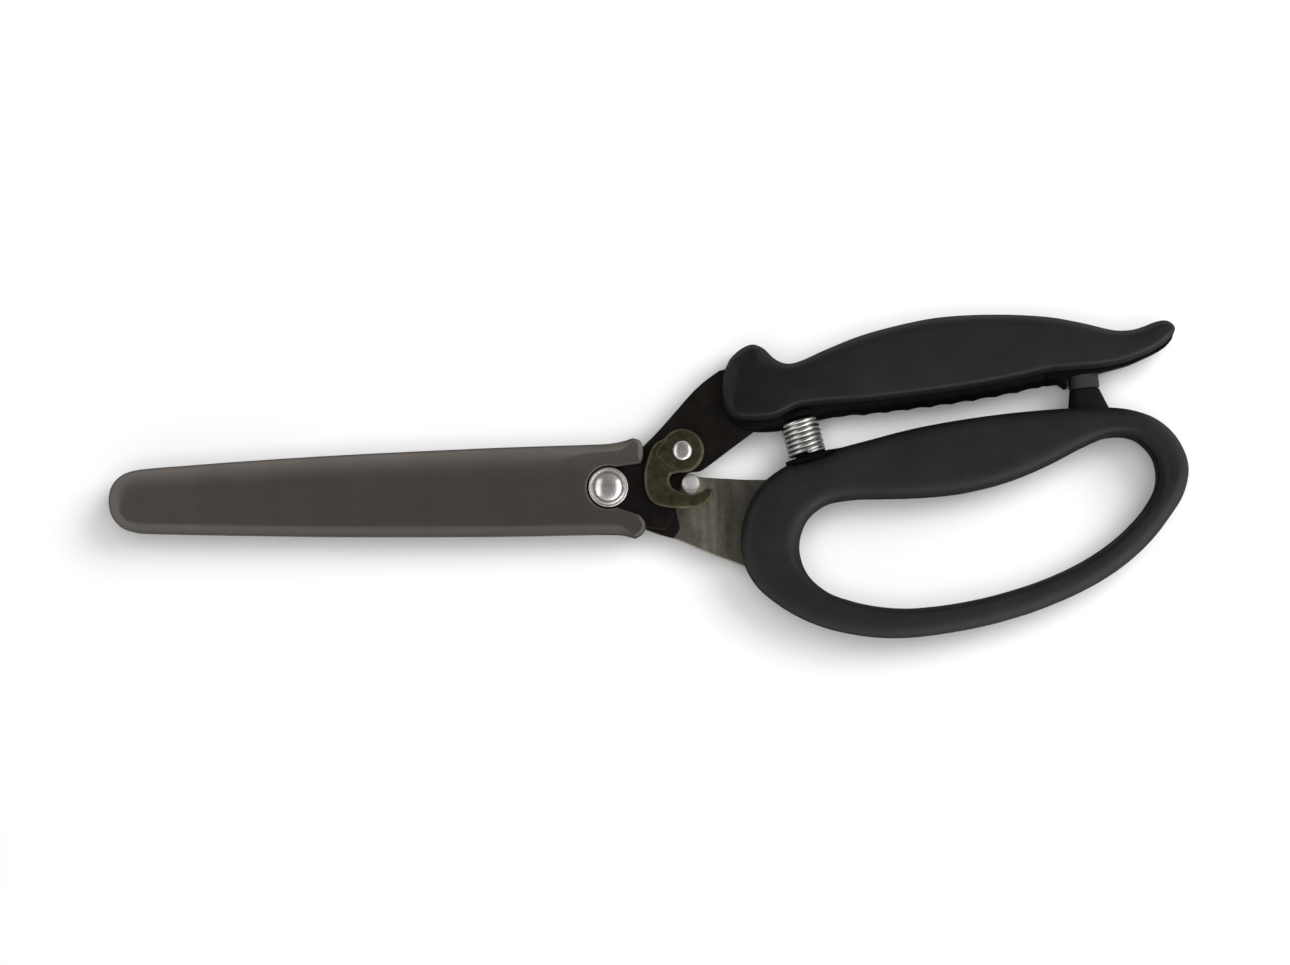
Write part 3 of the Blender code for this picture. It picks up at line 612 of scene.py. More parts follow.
def guard_plastic():
    """The guard's warm grey plastic, with painted highlight on its thin rounded edges, painted light at its tip
    and on its upper side, and painted shade on its steep walls.
    """
    look = Look("warm_grey_plastic")
    body = (0.0325, 0.0289, 0.0258)
    look.set(Specular_IOR_Level=0.45)
    flow = look.noise(120, 3, 0.6, (1, 0.25, 1))
    plain = look.mixed(flow, shade(body, 0.95), shade(body, 1.05))
    # Painted light and shade in the colour: lighter towards the tip, a painted highlight on the gently sloping
    # shoulders, painted shade on the steep walls, and painted light on the upper side.
    look.colour(plain, look.spread(look.along(), 1.18, 0.94, -0.130, -0.040),
                look.spread(look.level(), 2.1, 1.0, 0.980, 0.9993),
                look.spread(look.level(), 0.4, 1.0, 0.75, 0.96),
                look.spread(look.along("Y"), 1.0, 1.45, 0.002, 0.0075))
    look.rough(look.spread(look.noise(300, 4, 0.6), 0.34, 0.44), 0.4)
    look.bump(look.spread(look.noise(2400, 2), 0, 1), look.spread(look.noise(420, 3), 0, 0.6),
              distance=0.000012)
    return look.material


def pale_floor():
    """A plain, nearly white sheet."""
    look = Look("pale_floor")
    look.set(Specular_IOR_Level=0.1)
    look.colour(look.mixed(look.noise(14, 2), (0.87, 0.87, 0.87), (0.90, 0.90, 0.90)))
    look.set(Roughness=0.9)
    return look.material


# ---------------- handles

GRIP_ROUNDING = rounded(10)
CORE_EDGE = 0.2

UPPER_BACK = [(142.3, 36.0), (141.7, 37.7), (139.9, 38.6), (137.3, 38.2), (134.6, 37.2),
              (131.6, 36.4), (128.2, 36.3), (124.9, 36.9), (118.9, 38.5), (110.0, 40.2),
              (98.0, 41.0), (86.0, 40.8), (76.9, 39.6), (64.9, 36.8), (55.6, 33.4),
              (49.0, 30.6), (45.3, 29.9), (42.2, 31.2), (39.6, 33.8), (36.8, 34.9),
              (34.0, 33.9), (31.4, 31.7)]
UPPER_END = [(30.2, 29.6), (29.2, 27.0), (28.9, 23.5), (29.5, 18.9)]
UPPER_EDGE = [(57.0, 16.5), (64.4, 16.8), (76.4, 17.9), (88.5, 19.3), (100.5, 21.1),
              (110.5, 23.1)]
GRIP_SETBACK = 3.2
RIB_PITCH = 5.5
RIB_DEPTH = 0.34
RIB_SPAN = (59.0, 110.0)
BARE_BELOW = 24.5
BARE_START = (33.0, 44.0)
BARE_END = (110.0, 117.0)
BARE_REACH = 3.0
BARE_DROP = 3.6
GRIP_LEAST = 0.3
GRIP_SEAM = 0.15
GRIP_GRID = 1.3
UPPER_CROWN = 0.35
UPPER_REACH = 4.2
LOWER_EDGE_LESS = 2.4
NOSE_MORE = 2.6


def upper_core():
    """The bar handle's hard core: its inner edge is ribbed and falls away steeply."""
    start = run([*UPPER_END, (31.8, 15.2), (35.8, 13.5), (43.0, 13.3), (49.0, 15.0),
                 UPPER_EDGE[0]])
    ribbed = run(UPPER_EDGE, 0.35)
    lug = run([(113.2, 23.4), (114.6, 22.6), (115.3, 22.2), (115.2, 25.1)])
    tail = run([(124.2, 26.2), (130.7, 27.8), (135.0, 29.5), (139.4, 31.6), (141.6, 33.9)])
    outline, which = joined(start, ribbed, lug, run([lug[-1], tail[0]]), tail, run(UPPER_BACK))
    x = outline[:, 0]
    ribs = np.where((which == 1) & (x > RIB_SPAN[0]) & (x < RIB_SPAN[1]),
                    RIB_DEPTH * np.abs(np.sin(pi * (x - RIB_SPAN[0]) / RIB_PITCH)), 0.0)
    waves = np.column_stack([0 * ribs, ribs])
    lower_side = (which <= 2) & (outline[:, 1] < BARE_BELOW)
    bare = lower_side * ramp(x, *BARE_START) * (1 - ramp(x, *BARE_END))
    reach = CORE_EDGE + bare * BARE_REACH
    drop = CORE_EDGE + bare * BARE_DROP
    low, high = layer("upper_grip_core")
    edge = ([reach], [drop], rounded(7, 65))
    return layered([outline], low, high, edge, edge, grid=1.6, waves=waves)


def upper_grip(node, face_up):
    """A soft grip on one face of the bar handle, crisp below and broadly rounded at its nose."""
    low_side = [(31.6, 16.6), (36.3, 15.9), (41.4, 16.2), (44.6, 17.4), (48.0, 18.9),
                (52.5, 19.4), *[(x, y + GRIP_SETBACK) for x, y in UPPER_EDGE]]
    tail = [(117.0, 26.7), (124.0, 27.2), (129.0, 28.1), (133.5, 29.6), (137.2, 31.2),
            (140.4, 33.4)]
    outline = ring([*UPPER_END, *low_side, *tail, *UPPER_BACK])
    low, high = layer(node)
    across, up = inward(outline).T
    reach = UPPER_REACH - LOWER_EDGE_LESS * ramp(up, 0.2, 0.8) + NOSE_MORE * ramp(across, 0.5, 0.95)
    soft = ([reach], [high - low - GRIP_LEAST], GRIP_ROUNDING)
    seam = ([GRIP_SEAM], [GRIP_SEAM], SHARP_EDGE)
    edges = (seam, soft) if face_up else (soft, seam)
    crown = (0.0, UPPER_CROWN) if face_up else (0.0, 0.0)
    return layered([outline], low, high, *edges, grid=GRIP_GRID, crown=crown)


LOOP_OUTSIDE = [(39.5, 0.9), (45.5, 4.9), (52.1, 7.6), (59.2, 8.8), (66.2, 10.5), (73.2, 12.2),
                (80.2, 13.6), (87.4, 14.7), (94.5, 15.6), (101.6, 16.3), (108.8, 16.8),
                (116.0, 17.1), (123.2, 17.2), (130.3, 16.5), (137.0, 14.0), (142.1, 9.1),
                (144.7, 2.3), (143.4, -4.7), (139.5, -10.8), (134.9, -16.4), (129.6, -21.2),
                (123.7, -25.3), (117.3, -28.7), (110.7, -31.5), (103.9, -33.9), (97.0, -35.8),
                (90.0, -37.3), (82.9, -38.4), (75.7, -39.1), (68.5, -39.1), (61.4, -38.2),
                (54.4, -36.5), (47.8, -33.8), (41.7, -30.0), (36.4, -25.1), (33.3, -18.7),
                (33.0, -11.6), (35.2, -4.7)]
LOOP_INSIDE = [(47.3, -16.3), (49.2, -9.9), (54.2, -5.6), (60.8, -4.3), (67.5, -4.2),
               (74.2, -4.2), (81.0, -4.0), (87.7, -3.4), (94.3, -2.2), (100.8, -0.5),
               (107.1, 1.8), (113.3, 4.6), (119.3, 7.6), (125.6, 9.9), (132.2, 9.2),
               (136.8, 4.4), (137.4, -2.2), (134.3, -8.1), (129.7, -13.1), (124.5, -17.3),
               (118.8, -20.8), (112.7, -23.7), (106.4, -26.1), (100.0, -28.0), (93.4, -29.6),
               (86.8, -30.8), (80.1, -31.6), (73.4, -31.9), (66.7, -31.3), (60.1, -29.8),
               (53.9, -27.3), (49.1, -22.7)]
SPRING_DIP = [(43.6, 3.7), (45.6, 4.2), (49.0, 5.0), (52.5, 5.9), (55.4, 6.8), (57.3, 8.1)]
GRIP_OUTSIDE = [LOOP_OUTSIDE[0], *SPRING_DIP, *LOOP_OUTSIDE[3:]]
LOOP_CROWN = 0.3
OUTER_REACH, OUTER_MORE = 3.4, 2.2
INNER_REACH, INNER_MORE = 1.9, 2.9
INNER_SHARE = 0.45


def loop_grip(node, face_up):
    """A soft grip on one face of the finger loop, rounded most along its lower edges."""
    rings = [ring(GRIP_OUTSIDE), ring(LOOP_INSIDE)]
    low, high = layer(node)
    thick = high - low - GRIP_LEAST
    outer = ramp(inward(rings[0])[:, 1], 0.0, 0.8)
    inner = ramp(inward(rings[1], True)[:, 1], -0.6, 0.1)
    reaches = [OUTER_REACH + OUTER_MORE * outer, INNER_REACH + INNER_MORE * inner]
    shares = [SHARE + 0.6 * outer, INNER_SHARE + 0.37 * inner]
    soft = (reaches, [thick, thick], GRIP_ROUNDING)
    seam = ([GRIP_SEAM] * 2, [GRIP_SEAM] * 2, SHARP_EDGE)
    edges = (seam, soft) if face_up else (soft, seam)
    crown = (0.0, LOOP_CROWN) if face_up else (0.0, 0.0)
    return layered(rings, low, high, *edges, grid=GRIP_GRID, crown=crown, shares=shares)


def loop_core():
    """The finger loop's hard core, which shows between its two grips."""
    rings = [ring(LOOP_OUTSIDE), ring(LOOP_INSIDE)]
    edge = ([CORE_EDGE] * 2, [CORE_EDGE] * 2, SHARP_EDGE)
    return layered(rings, *layer("loop_core"), edge, edge)


# ---------------- levers

BLADE_REACH = 116.5
BOSS_RADIUS = 9.4
PIVOT_HOLE = 2.5
GRIND = 3.0
LAND = 0.6
ARRIS = 0.25
GRIND_END = (-22.0, -14.0)
POINT_FROM = -112.0


def front_blade():
    """The upper lever: a ground blade below the centre line and a tang above it."""
    edge = run([(-BLADE_REACH, -0.6), (-112.0, -0.1), (-90.0, 0.6), (-60.0, 1.1),
                (-30.0, 1.5), (-13.0, 1.8)])
    boss_top = arc(BOSS_RADIUS, 168, 62)
    back = run([(8.9, 10.1), (13.3, 14.4), (19.4, 21.1), (22.4, 24.2), (25.3, 26.6),
                (28.4, 28.7)])
    tang = run([(33.0, 29.6), (40.0, 27.6), (47.0, 26.6), (61.0, 27.4), (64.5, 25.0),
                (62.0, 22.6), (46.0, 21.0), (41.0, 19.4), (38.5, 16.8)])
    front = run([(37.0, 13.4), (31.2, 9.3), (25.1, 4.9), (22.9, 3.6), (20.5, 3.4),
                 (18.6, 2.2)])
    relief = arc(17.85, 0, -38)
    heel = run([(10.0, -10.3), (6.0, -9.4)])
    boss_low = arc(BOSS_RADIUS, -66, -98)
    spine = run([(-10.0, -9.45), (-20.0, -9.3), (-64.5, -8.2), (-100.0, -6.8),
                 (-110.0, -5.6), (-115.0, -3.4)])
    outline, which = joined(edge, boss_top, back, tang, front, relief, heel, boss_low, spine)
    return lever("front_blade", outline, which == 0, True)


def back_blade():
    """The lower lever: a ground blade above the centre line and a tang below it."""
    edge = run([(-13.0, -2.9), (-30.0, -2.5), (-60.0, -2.1), (-90.0, -1.6),
                (-112.0, -0.9), (-BLADE_REACH, -0.4)])
    spine = run([(-115.0, 2.8), (-110.0, 5.0), (-100.0, 6.3), (-64.5, 7.9),
                 (-20.0, 8.9), (-10.0, 9.0)])
    boss_top = arc(BOSS_RADIUS, 98, 62)
    top = run([(8.0, 7.4), (12.0, 5.6), (16.0, 3.8), (19.2, 2.8), (20.6, 2.9),
               (22.0, 2.6), (23.4, 2.2), (28.0, 1.8), (34.5, 1.3)])
    tang = run([(39.0, 1.2), (46.0, 1.9), (56.0, 3.1), (60.0, 3.2), (62.3, 1.2),
                (60.0, -0.8), (49.0, -2.6), (44.6, -8.0), (43.0, -16.0), (40.0, -21.0),
                (36.6, -22.3)])
    low = run([(33.0, -20.1), (24.6, -16.8), (17.7, -13.6), (12.4, -12.0), (9.0, -10.7),
               (6.4, -9.6)])
    boss_low = arc(BOSS_RADIUS, -68, -162)
    outline, which = joined(edge, spine, boss_top, top, tang, low, boss_low)
    return lever("back_blade", outline, which == 0, False)


def lever(node, outline, on_edge, outer_up):
    """A flat lever with eased edges whose cutting edge is ground on its outer face."""
    low, high = layer(node)
    ground = on_edge * (1 - ramp(outline[:, 0], *GRIND_END))
    ground = ground * ramp(outline[:, 0], -BLADE_REACH, POINT_FROM)
    reach = ARRIS + ground * (GRIND - ARRIS)
    drop = ARRIS + ground * (high - low - LAND - ARRIS)
    flat = ([ARRIS, ARRIS], [ARRIS, ARRIS], GROUND_EDGE)
    ground_edge = ([reach, ARRIS], [drop, ARRIS], GROUND_EDGE)
    edges = (flat, ground_edge) if outer_up else (ground_edge, flat)
    return layered([outline, circle(PIVOT_HOLE, spacing=0.4)], low, high, *edges, grid=2.5)


def collar():
    """The black coated zone round the pivot of the lower lever, with a crisp edge."""
    edge = run([(16.7, -4.6), (16.8, -6.1), (17.2, -8.0), (17.5, -10.75), (15.96, -13.0)], 0.3)
    low = run([(15.2, -12.75), (12.4, -11.85), (9.2, -10.65)])
    inner = run([(8.0, -8.0), (10.5, -4.6)])
    outline, _ = joined(edge, low, inner)
    top = layer("back_blade")[1]
    edge = ([0.25], [0.15], SHARP_EDGE)
    return layered([outline], top - 0.2, top + 0.2, ([0.02], [0.02], SHARP_EDGE), edge)


# ---------------- latch

EYE_RADIUS = 5.45
EYE_PLATE_FROM = 13.2
LATCH_STEP = 0.35
LATCH_HOLE = 1.8


def latch_hook():
    """The latch's body: an eye with a hook that curls under the catch pin."""
    eye = arc(EYE_RADIUS, -100, 146, (RIVET_AT.x, RIVET_AT.y), 0.5)
    back = run([(12.0, 10.6), (10.7, 8.6), (9.3, 4.6), (9.0, 1.4), (9.6, -2.0),
                (11.2, -4.2), (13.8, -5.2), (17.5, -5.7), (21.5, -5.6), (24.3, -4.6),
                (26.1, -2.6), (26.0, -1.3), (24.6, -1.0), (23.0, -1.9), (20.6, -2.5),
                (17.8, -1.6), (15.9, -0.4), (15.3, 1.3), (15.8, 2.8)], 0.5)
    outline, _ = joined(eye, back)
    low, high = layer("latch_hook")
    hole = circle(LATCH_HOLE, (RIVET_AT.x, RIVET_AT.y), 0.4)
    return layered([outline, hole], low, high - LATCH_STEP, ([0.2, 0.1], [0.2, 0.1], SHARP_EDGE),
                   ([0.9, 0.1], [0.55, 0.1], rounded(4, 55)), grid=1.0)


def latch_eye():
    """The thicker plate round the latch's rivet, which ends in a slanting step."""
    high = layer("latch_hook")[1]
    middle = (RIVET_AT.x, RIVET_AT.y)
    rim = arc(EYE_RADIUS - 0.35, -128, 150, middle, 0.4)
    step = run([(12.7, 9.6), (12.0, 8.1), (12.3, 7.4), (15.0, 4.7)], 0.4)
    outline, _ = joined(rim, step)
    hole = circle(LATCH_HOLE, middle, 0.4)
    return layered([outline, hole], EYE_PLATE_FROM, high, ([0.05, 0.05], [0.05, 0.05], SHARP_EDGE),
                   ([0.6, 0.15], [0.33, 0.15], rounded(3, 60)), grid=1.0)


def upright(at):
    """The place of an axis that stands up from a point."""
    return Matrix.Translation((at.x, at.y, 0))


def latch_rivet():
    """The rivet that the latch turns on, with a domed head."""
    foot, top = layer("latch_rivet")
    dome = [(2.45 * cos(a), top - 0.95 + 0.95 * sin(a))
            for a in (radians(10 * k) for k in range(9))]
    profile = [(0, foot), (2.0, foot), (2.2, foot + 0.3), (2.2, 7.3), (1.5, 7.35),
               (1.5, 14.1), (2.35, 14.2), *dome, (0, top)]
    return turned(profile, upright(RIVET_AT))


def latch_spacer():
    """The washer that holds the latch above the guard's mouth."""
    low, high = layer("latch_spacer")
    profile = [(1.8, low), (3.2, low), (3.4, low + 0.2), (3.4, high - 0.2), (3.2, high),
               (1.8, high)]
    return turned(profile, upright(RIVET_AT), 48)


def catch_pin():
    """The pin on the lower lever that the hook closes round."""
    foot, top = layer("catch_pin")
    plate_low, plate_high = layer("back_blade")
    dome = [(2.3 * cos(a), top - 0.75 + 0.75 * sin(a)) for a in (radians(9 * k) for k in range(10))]
    profile = [(0, foot), (1.5, foot), (1.8, foot + 0.25), (1.8, plate_low), (1.1, plate_low),
               (1.1, plate_high), (2.3, plate_high), *dome, (0, top)]
    return turned(profile, upright(centre("catch_pin")))


# ---------------- pivot

ORIGIN = Vector((0, 0, 0))
HEAD_ARC = radians(34)
HEAD_RADIUS = 3.35
HEAD_RISE = 0.95
HEAD_FROM = 11.3


def pivot_screw():
    """The screw, with a low domed head."""
    foot, top = layer("pivot_screw")
    dome = [(HEAD_RADIUS * sin(a) / sin(HEAD_ARC),
             top - HEAD_RISE * (1 - cos(a)) / (1 - cos(HEAD_ARC)))
            for a in (HEAD_ARC * k / 12 for k in range(12, 0, -1))]
    profile = [(0, foot), (1.9, foot), (2.2, foot + 0.3), (2.2, HEAD_FROM), (3.2, HEAD_FROM),
               (HEAD_RADIUS, 11.4), *dome, (0, top)]
    return turned(profile, upright(ORIGIN), 72)


def pivot_ring():
    """The dished ring that the screw's head sits in."""
    low, high = layer("pivot_ring")
    crest = [(4.6 + 0.4 * cos(a), high - 0.4 + 0.4 * sin(a))
             for a in (radians(15 * k) for k in range(10))]
    profile = [(2.5, low), (4.9, low), (5.0, low + 0.1), *crest, (4.1, high - 0.3),
               (3.85, high - 0.45), (3.75, high - 0.8), (3.4, high - 0.9), (2.5, high - 0.9)]
    return turned(profile, upright(ORIGIN), 72)


def pivot_washer():
    """The flat washer under the nut."""
    low, high = layer("pivot_washer")
    profile = [(2.5, low), (4.8, low), (5.0, low + 0.2), (5.0, high - 0.1), (4.9, high),
               (2.5, high)]
    return turned(profile, upright(ORIGIN))


def pivot_nut():
    """A hexagon nut, chamfered on its outer face."""
    low, high = layer("pivot_nut")
    corners = [Vector((4.0 * cos(a), 4.0 * sin(a))) for a in (pi / 3 * k for k in range(6))]
    flats = [run([a, b], 0.5) for a, b in zip(corners, corners[1:] + corners[:1])]
    outline, _ = joined(*flats)
    spare = np.maximum(0, np.linalg.norm(outline, axis=1) - 3.4)
    return layered([outline, circle(2.5, spacing=0.4)], low, high,
                   ([0.1 + spare, 0.25], [0.08 + spare * 0.8, 0.25], SHARP_EDGE),
                   ([0.1, 0.1], [0.1, 0.1], SHARP_EDGE))


# ---------------- spring and stops

SPRING_ANGLE = radians(13.4)
SPRING_RADIUS = 50.4
SPRING_LENGTH = 9.4
SPRING_OUTSIDE = 9.6
SPRING_WIRE = 1.2
SPRING_TURNS = 7.5
SPRING_DEAD_TURNS = 0.75
SPRING_DEAD_PITCH = 0.45
WIRE_SIDES = 14
WIRE_RINGS_PER_TURN = 48
CUP_GAP = 0.3
STOP_ANGLE = radians(10.45)
STOP_RADIUS = 121.8
BUMPER_LEAN = radians(4.0)


def along(angle, radius, offset=0.0, lean=None):
    """The place of an axis that leans by angle, or by lean, offset along itself."""
    lean = angle if lean is None else lean
    tangent = Vector((-sin(lean), cos(lean), 0))
    at = Vector((radius * cos(angle), radius * sin(angle), MIDDLE)) + tangent * offset
    return Matrix.Translation(at) @ tangent.to_track_quat("Z", "X").to_matrix().to_4x4()


def return_spring():
    """The spring's wire, whose turns lie closer at its two ends."""
    place = along(SPRING_ANGLE, SPRING_RADIUS, -SPRING_LENGTH / 2)
    radius = (SPRING_OUTSIDE - SPRING_WIRE) / 2
    count = int(SPRING_TURNS * WIRE_RINGS_PER_TURN)
    dead = SPRING_DEAD_TURNS / SPRING_TURNS
    solid = Solid()
    rings, share = [], []
    for k in range(count + 1):
        t = k / count
        a = 2 * pi * SPRING_TURNS * t
        rise = min(1, max(0, (t - dead) / (1 - 2 * dead)))
        coil = (1 - SPRING_DEAD_PITCH) * rise + SPRING_DEAD_PITCH * t
        middle = Vector((radius * cos(a), radius * sin(a),
                         SPRING_WIRE / 2 + (SPRING_LENGTH - SPRING_WIRE) * coil))
        outward = Vector((cos(a), sin(a), 0))
        circle_points = []
        for j in range(WIRE_SIDES):
            b = 2 * pi * j / WIRE_SIDES
            offset = outward * cos(b) + Vector((0, 0, sin(b)))
            circle_points.append(place @ (middle + offset * SPRING_WIRE / 2))
        rings.append(solid.add(circle_points))
        share += [rise] * WIRE_SIDES
    for a, b in zip(rings, rings[1:]):
        solid.bridge(a, b)
    solid.faces += [tuple(rings[0]), tuple(rings[-1])]
    piece = build("return_spring_fine", solid, 50)
    piece.data.materials.append(spring_steel())
    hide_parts("return_spring")
    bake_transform(piece)
    return piece


def spring_cup(side, radius):
    """A cup with a rounded rim behind the spring, and a peg inside its coils."""
    place = along(SPRING_ANGLE, SPRING_RADIUS, side * (SPRING_LENGTH / 2 + CUP_GAP))
    profile = [(0, 1.4), (radius - 0.1, 1.4), (radius, 1.3), (radius, 0.3), (radius - 0.1, 0.1),
               (radius - 0.3, 0), (3.2, 0), (3.1, -0.1), (2.9, -2.1), (2.6, -2.4), (0, -2.4)]
    return turned([(r, side * h) for r, h in profile], place)


def upper_bumper():
    """The rubber bumper, with a rounded foot and a faint waist."""
    nose_shade = [(3.4 + 0.5 * sin(a), 0.6 - 0.5 * cos(a)) for a in (radians(15 * k) for k in range(7))]
    profile = [(0, 0.1), *nose_shade, (3.82, 2.6), (3.9, 4.6), (3.9, 6.7), (3.6, 7.05), (0, 7.05)]
    return turned(profile, along(STOP_ANGLE, STOP_RADIUS, lean=BUMPER_LEAN))


def closing_stop():
    """The tapered boss that flares into the loop; its top lies level with the bumper."""
    flare = [(5.5, -6.2), (5.3, -5.6), (5.0, -4.8), (4.7, -3.8), (4.4, -2.7), (4.1, -1.6),
             (3.85, -0.7), (3.75, -0.2), (3.5, 0.0)]
    profile = [(0, -8.2), (2.7, -8.2), (2.7, -6.2), *flare, (0, 0.0)]
    level = Matrix.Identity(4)
    level[2][1] = -tan(STOP_ANGLE - BUMPER_LEAN)
    return turned(profile, along(STOP_ANGLE, STOP_RADIUS) @ level)


# ---------------- blade guard

GUARD_REACH = 125.1
GUARD_WALL = 1.4
GUARD_WALL_END = (-2.5, -10.2)
NOTCH_RADIUS = 5.35
BEYOND = 20.0
CAVITY_LEVELS = (4.5, 10.45)
MOUTH_SHARE = 0.25
EDGE_WIDTH = 0.5
EDGE_DEPTH = 0.4
SHOULDER_WIDTH = 1.9
UPPER_SHOULDER_MORE = 2.5
SHOULDER_DEPTH = 0.6
GUARD_TIP = (-GUARD_REACH, -0.7)
GUARD_TOP = [(-124.6, 2.4), (-123.2, 4.6), (-121.2, 6.05), (-118.4, 6.9), (-114.0, 7.35),
             (-106.0, 7.8), (-90.0, 8.65), (-64.5, 9.65), (-30.0, 10.5), (-8.0, 10.75),
             (0.0, 10.9), (3.6, 11.4), (6.3, 12.2)]
GUARD_LOW = [(-124.6, -3.9), (-123.2, -6.2), (-121.2, -7.8), (-118.4, -8.65), (-114.0, -8.95),
             (-106.0, -9.3), (-90.0, -9.93), (-64.5, -10.8), (-30.0, -11.5), (-8.0, -11.62),
             (0.0, -11.68), (3.6, -12.0), (6.3, -12.75)]
LIP = [(0.0, 0.0), (0.012, 0.16), (0.04, 0.30), (0.09, 0.41)]
SHOULDER = LIP + [(0.12 + 0.88 * t, 0.45 + 0.55 * (1 - (1 - t) ** 1.7))
                  for t in (k / 9 for k in range(10))]


def blade_guard():
    """The guard: a flat sheath with sloping shoulders, flared and notched at its mouth."""
    sides = run([*GUARD_LOW[::-1], GUARD_TIP, *GUARD_TOP])
    mouth_top = run([GUARD_TOP[-1], (8.2, 11.4), (8.9, 9.4), (8.7, 6.8), (8.2, 5.8)], 0.5)
    notch = arc(NOTCH_RADIUS, 70, 290, spacing=0.4)
    mouth_low = run([(7.7, -7.0), (8.9, -8.7), (9.0, -10.3), (7.9, -11.9), GUARD_LOW[-1]], 0.5)
    outline, which = joined(sides, mouth_top, notch, mouth_low)
    on_side = (which == 0) + (which != 2) * MOUTH_SHARE
    upper = ramp(outline[:, 1], -5.0, 5.0)
    wide = EDGE_WIDTH + on_side * (SHOULDER_WIDTH + UPPER_SHOULDER_MORE * upper)
    deep = EDGE_DEPTH + SHOULDER_DEPTH * on_side
    low, high = layer("blade_guard")
    edge = ([wide], [deep], SHOULDER)
    solid = layered([outline], low, high, edge, edge, grid=2.2)
    piece = build("blade_guard_fine", solid)
    tip = [(-123.7, 0.2), (-123.2, -2.6), (-121.8, -4.6), (-119.6, -5.9)]
    wall = run([*tip, *[(a, b + GUARD_WALL) for a, b in GUARD_LOW[4:9]]], 1.2)
    end_x, end_y = GUARD_WALL_END
    corners = np.array([(end_x, end_y), (end_x, -BEYOND), (BEYOND, -BEYOND), (BEYOND, BEYOND),
                        (-GUARD_REACH - BEYOND, BEYOND), (-GUARD_REACH - BEYOND, tip[0][1])])
    cavity = Solid()
    outline, _ = joined(wall, corners)
    levels = [cavity.level(outline, height) for height in CAVITY_LEVELS]
    cavity.bridge(*levels)
    for line in levels:
        cavity.cap([line])
    return settle(cut(piece, cavity), "blade_guard", guard_plastic())


# ---------------- stage

CAMERA_TILT = radians(3.0)
CAMERA_SWING = radians(0.5)
CAMERA_ROLL = radians(1.29)
CAMERA_DISTANCE = 900.0
VIEW_CENTRE = Vector((-0.65, 0.194, 7.5))
PIXELS_PER_MM = 3.987
IMAGE_WIDTH = 1290
WALLS = 0.60
CEILING = 0.075
CEILING_FROM = (0.35, 0.92)
BRIGHT_SIDE = (0.6, -0.8, 0.0)
SIDE_SPAN = (-0.8, 0.8)
SIDES = (0.25, 1.5)
FLOOR_HALF = 3.0
FLOOR_DROP = -0.00005
# Name, place and size in metres, power, whether it shows in reflections, whether it lights.
LIGHTS = [
    ("key_light", (0.80, 0.52, 0.95), 0.8, 0.8, 13.0, False, True),
    ("top_light", (0.0, 0.0, 1.30), 1.2, 1.2, 11.5, False, True),
    ("fill_light", (0.60, -0.80, 0.45), 1.3, 0.4, 4.0, True, False),
    ("left_panel", (-0.85, 0.05, 0.78), 1.6, 0.45, 3.4, True, False),
    ("right_panel", (0.85, -0.05, 0.78), 1.6, 0.45, 3.4, True, False),
]


def make_camera():
    """The photograph's camera, nearly straight above the shears."""
    turn = (Matrix.Rotation(CAMERA_ROLL, 3, "Z")
            @ Matrix.Rotation(CAMERA_SWING, 3, "Y").transposed()
            @ Matrix.Rotation(CAMERA_TILT, 3, "X").transposed())
    data = bpy.data.cameras.new("camera")
    data.sensor_width = 36.0
    data.lens = PIXELS_PER_MM * CAMERA_DISTANCE / IMAGE_WIDTH * data.sensor_width
    data.clip_start = 0.01
    data.clip_end = 20
    camera = bpy.data.objects.new("camera", data)
    back = turn.transposed()
    at = VIEW_CENTRE + back @ Vector((0, 0, CAMERA_DISTANCE))
    camera.matrix_world = Matrix.Translation(at * MM) @ back.to_4x4()
    bpy.context.scene.collection.objects.link(camera)
    bpy.context.scene.camera = camera


def soft_light(name, at, width, height, power, reflected, lights):
    """A soft box at a point, in metres, turned to the object; its width lies level."""
    data = bpy.data.lights.new(name, "AREA")
    data.shape = "RECTANGLE"
    data.size = width
    data.size_y = height
    data.energy = power
    light = bpy.data.objects.new(name, data)
    light.matrix_world = (Matrix.Translation(at)
                          @ Vector(at).to_track_quat("Z", "Y").to_matrix().to_4x4())
    light.visible_glossy = reflected
    light.visible_diffuse = lights
    bpy.context.scene.collection.objects.link(light)


def studio():
    """A pale room: the ceiling is dark, and one wall is brighter than the others."""
    world = bpy.data.worlds.new("studio")
    world.use_nodes = True
    tree = world.node_tree
    way = tree.nodes.new("ShaderNodeTexCoord")
    split = tree.nodes.new("ShaderNodeSeparateXYZ")
    fade = tree.nodes.new("ShaderNodeValToRGB")
    for stop, at, grey in zip(fade.color_ramp.elements, CEILING_FROM, (WALLS, CEILING)):
        stop.position = at
        stop.color = (grey, grey, grey, 1.0)
    towards = tree.nodes.new("ShaderNodeVectorMath")
    towards.operation = "DOT_PRODUCT"
    towards.inputs[1].default_value = BRIGHT_SIDE
    side = tree.nodes.new("ShaderNodeMapRange")
    names = ("From Min", "From Max", "To Min", "To Max")
    for name, value in zip(names, (*SIDE_SPAN, *SIDES)):
        side.inputs[name].default_value = value
    background = tree.nodes["Background"]
    tree.links.new(way.outputs["Generated"], split.inputs["Vector"])
    tree.links.new(split.outputs["Z"], fade.inputs["Fac"])
    tree.links.new(way.outputs["Generated"], towards.inputs[0])
    tree.links.new(towards.outputs["Value"], side.inputs["Value"])
    tree.links.new(fade.outputs["Color"], background.inputs["Color"])
    tree.links.new(side.outputs["Result"], background.inputs["Strength"])
    return world


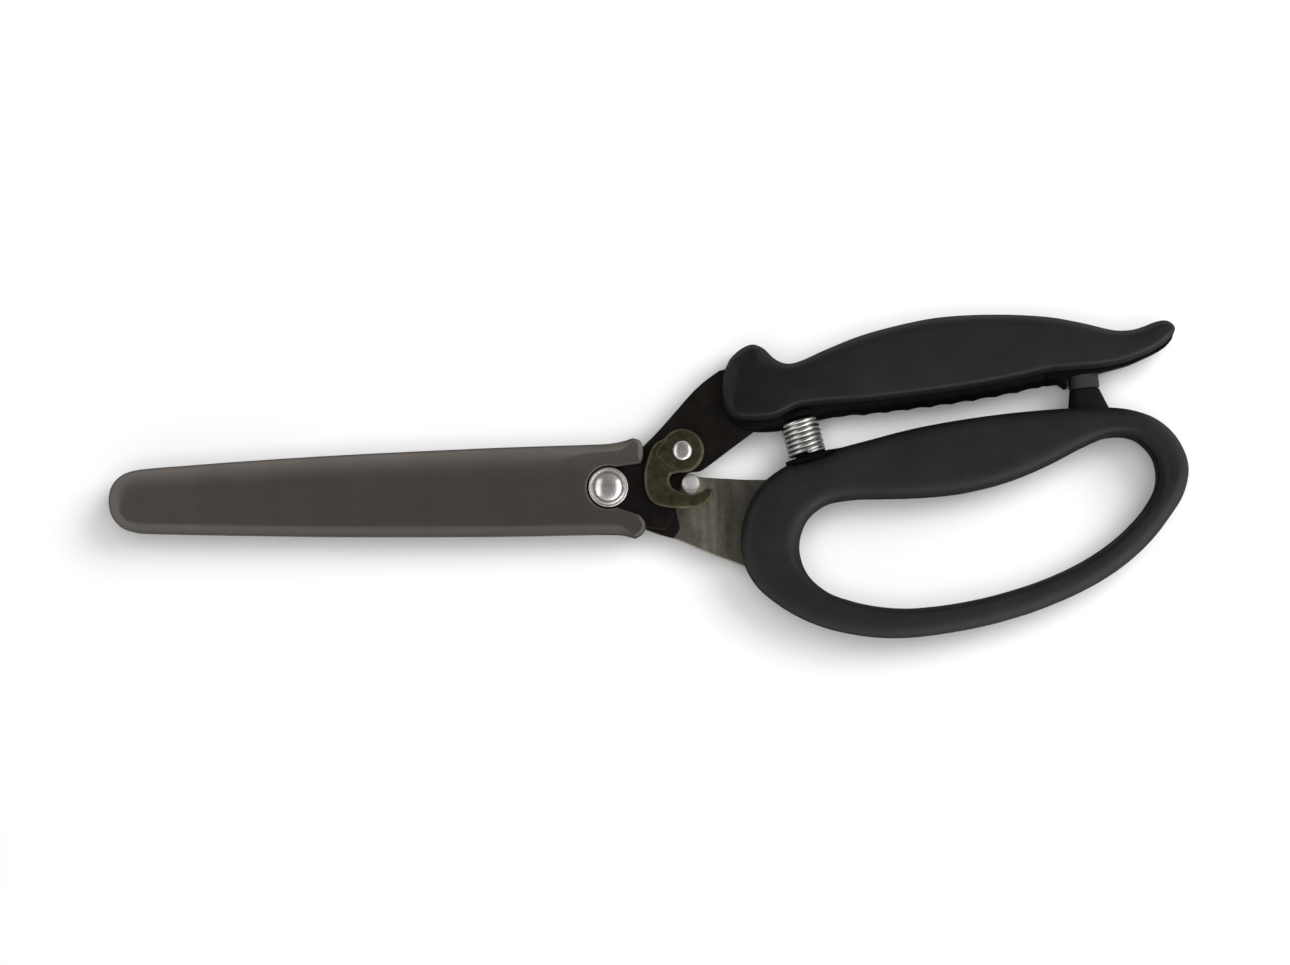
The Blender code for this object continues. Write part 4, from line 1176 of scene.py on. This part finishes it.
def make_stage():
    """The floor, the lights and the room."""
    mesh = bpy.data.meshes.new("floor")
    corners = [(-1, -1), (1, -1), (1, 1), (-1, 1)]
    mesh.from_pydata([(x * FLOOR_HALF, y * FLOOR_HALF, FLOOR_DROP) for x, y in corners],
                     [], [(0, 1, 2, 3)])
    floor = bpy.data.objects.new("floor", mesh)
    mesh.materials.append(pale_floor())
    bpy.context.scene.collection.objects.link(floor)

    for light in LIGHTS:
        soft_light(*light)

    bpy.context.scene.world = studio()
    bpy.context.scene.view_settings.view_transform = "Standard"


# ---------------- all pieces

def main():
    make_camera()
    make_stage()

    soft, hard, bright, black = soft_black(), hard_black(), bright_steel(), black_steel()
    stand_for("upper_grip_core", upper_core(), hard)
    # The bar handle's grips get painted shade that darkens them towards their nose.
    bar = soft_black("soft_touch_bar", 0.35)
    stand_for("upper_grip_front", upper_grip("upper_grip_front", True), bar, smooth=60)
    stand_for("upper_grip_back", upper_grip("upper_grip_back", False), bar, smooth=60)
    stand_for("loop_core", loop_core(), hard)
    stand_for("loop_grip_front", loop_grip("loop_grip_front", True), soft, smooth=60)
    stand_for("loop_grip_back", loop_grip("loop_grip_back", False), soft, smooth=60)

    stand_for("front_blade", front_blade(), black)
    stand_for("back_blade", back_blade(), gunmetal())
    stand_for("back_blade", collar(), black, "back_blade_collar")

    olive = olive_steel()
    stand_for("latch_hook", latch_hook(), olive)
    stand_for("latch_hook", latch_eye(), olive, "latch_eye_plate")
    stand_for("latch_rivet", latch_rivet(), bright)
    stand_for("latch_spacer", latch_spacer(), black)
    stand_for("catch_pin", catch_pin(), bright_steel("dull_steel", 0.52))

    stand_for("pivot_screw", pivot_screw(), bright)
    stand_for("pivot_ring", pivot_ring(), bright)
    stand_for("pivot_washer", pivot_washer(), bright)
    stand_for("pivot_nut", pivot_nut(), bright)

    return_spring()
    stand_for("upper_spring_cup", spring_cup(1, 5.3), hard)
    stand_for("lower_spring_cup", spring_cup(-1, 5.9), hard)
    stand_for("upper_bumper", upper_bumper(), stop_rubber())
    stop_black = hard_black("moulded_stop", (0.0056, 0.0052, 0.0048))
    stand_for("closing_stop", closing_stop(), stop_black)
    blade_guard()

    for name in ("upper_tang_rivet_1", "upper_tang_rivet_2", "lower_tang_rivet_1",
                 "lower_tang_rivet_2"):
        materials = frame["nodes"][name].data.materials
        materials.clear()
        materials.append(bright)


main()
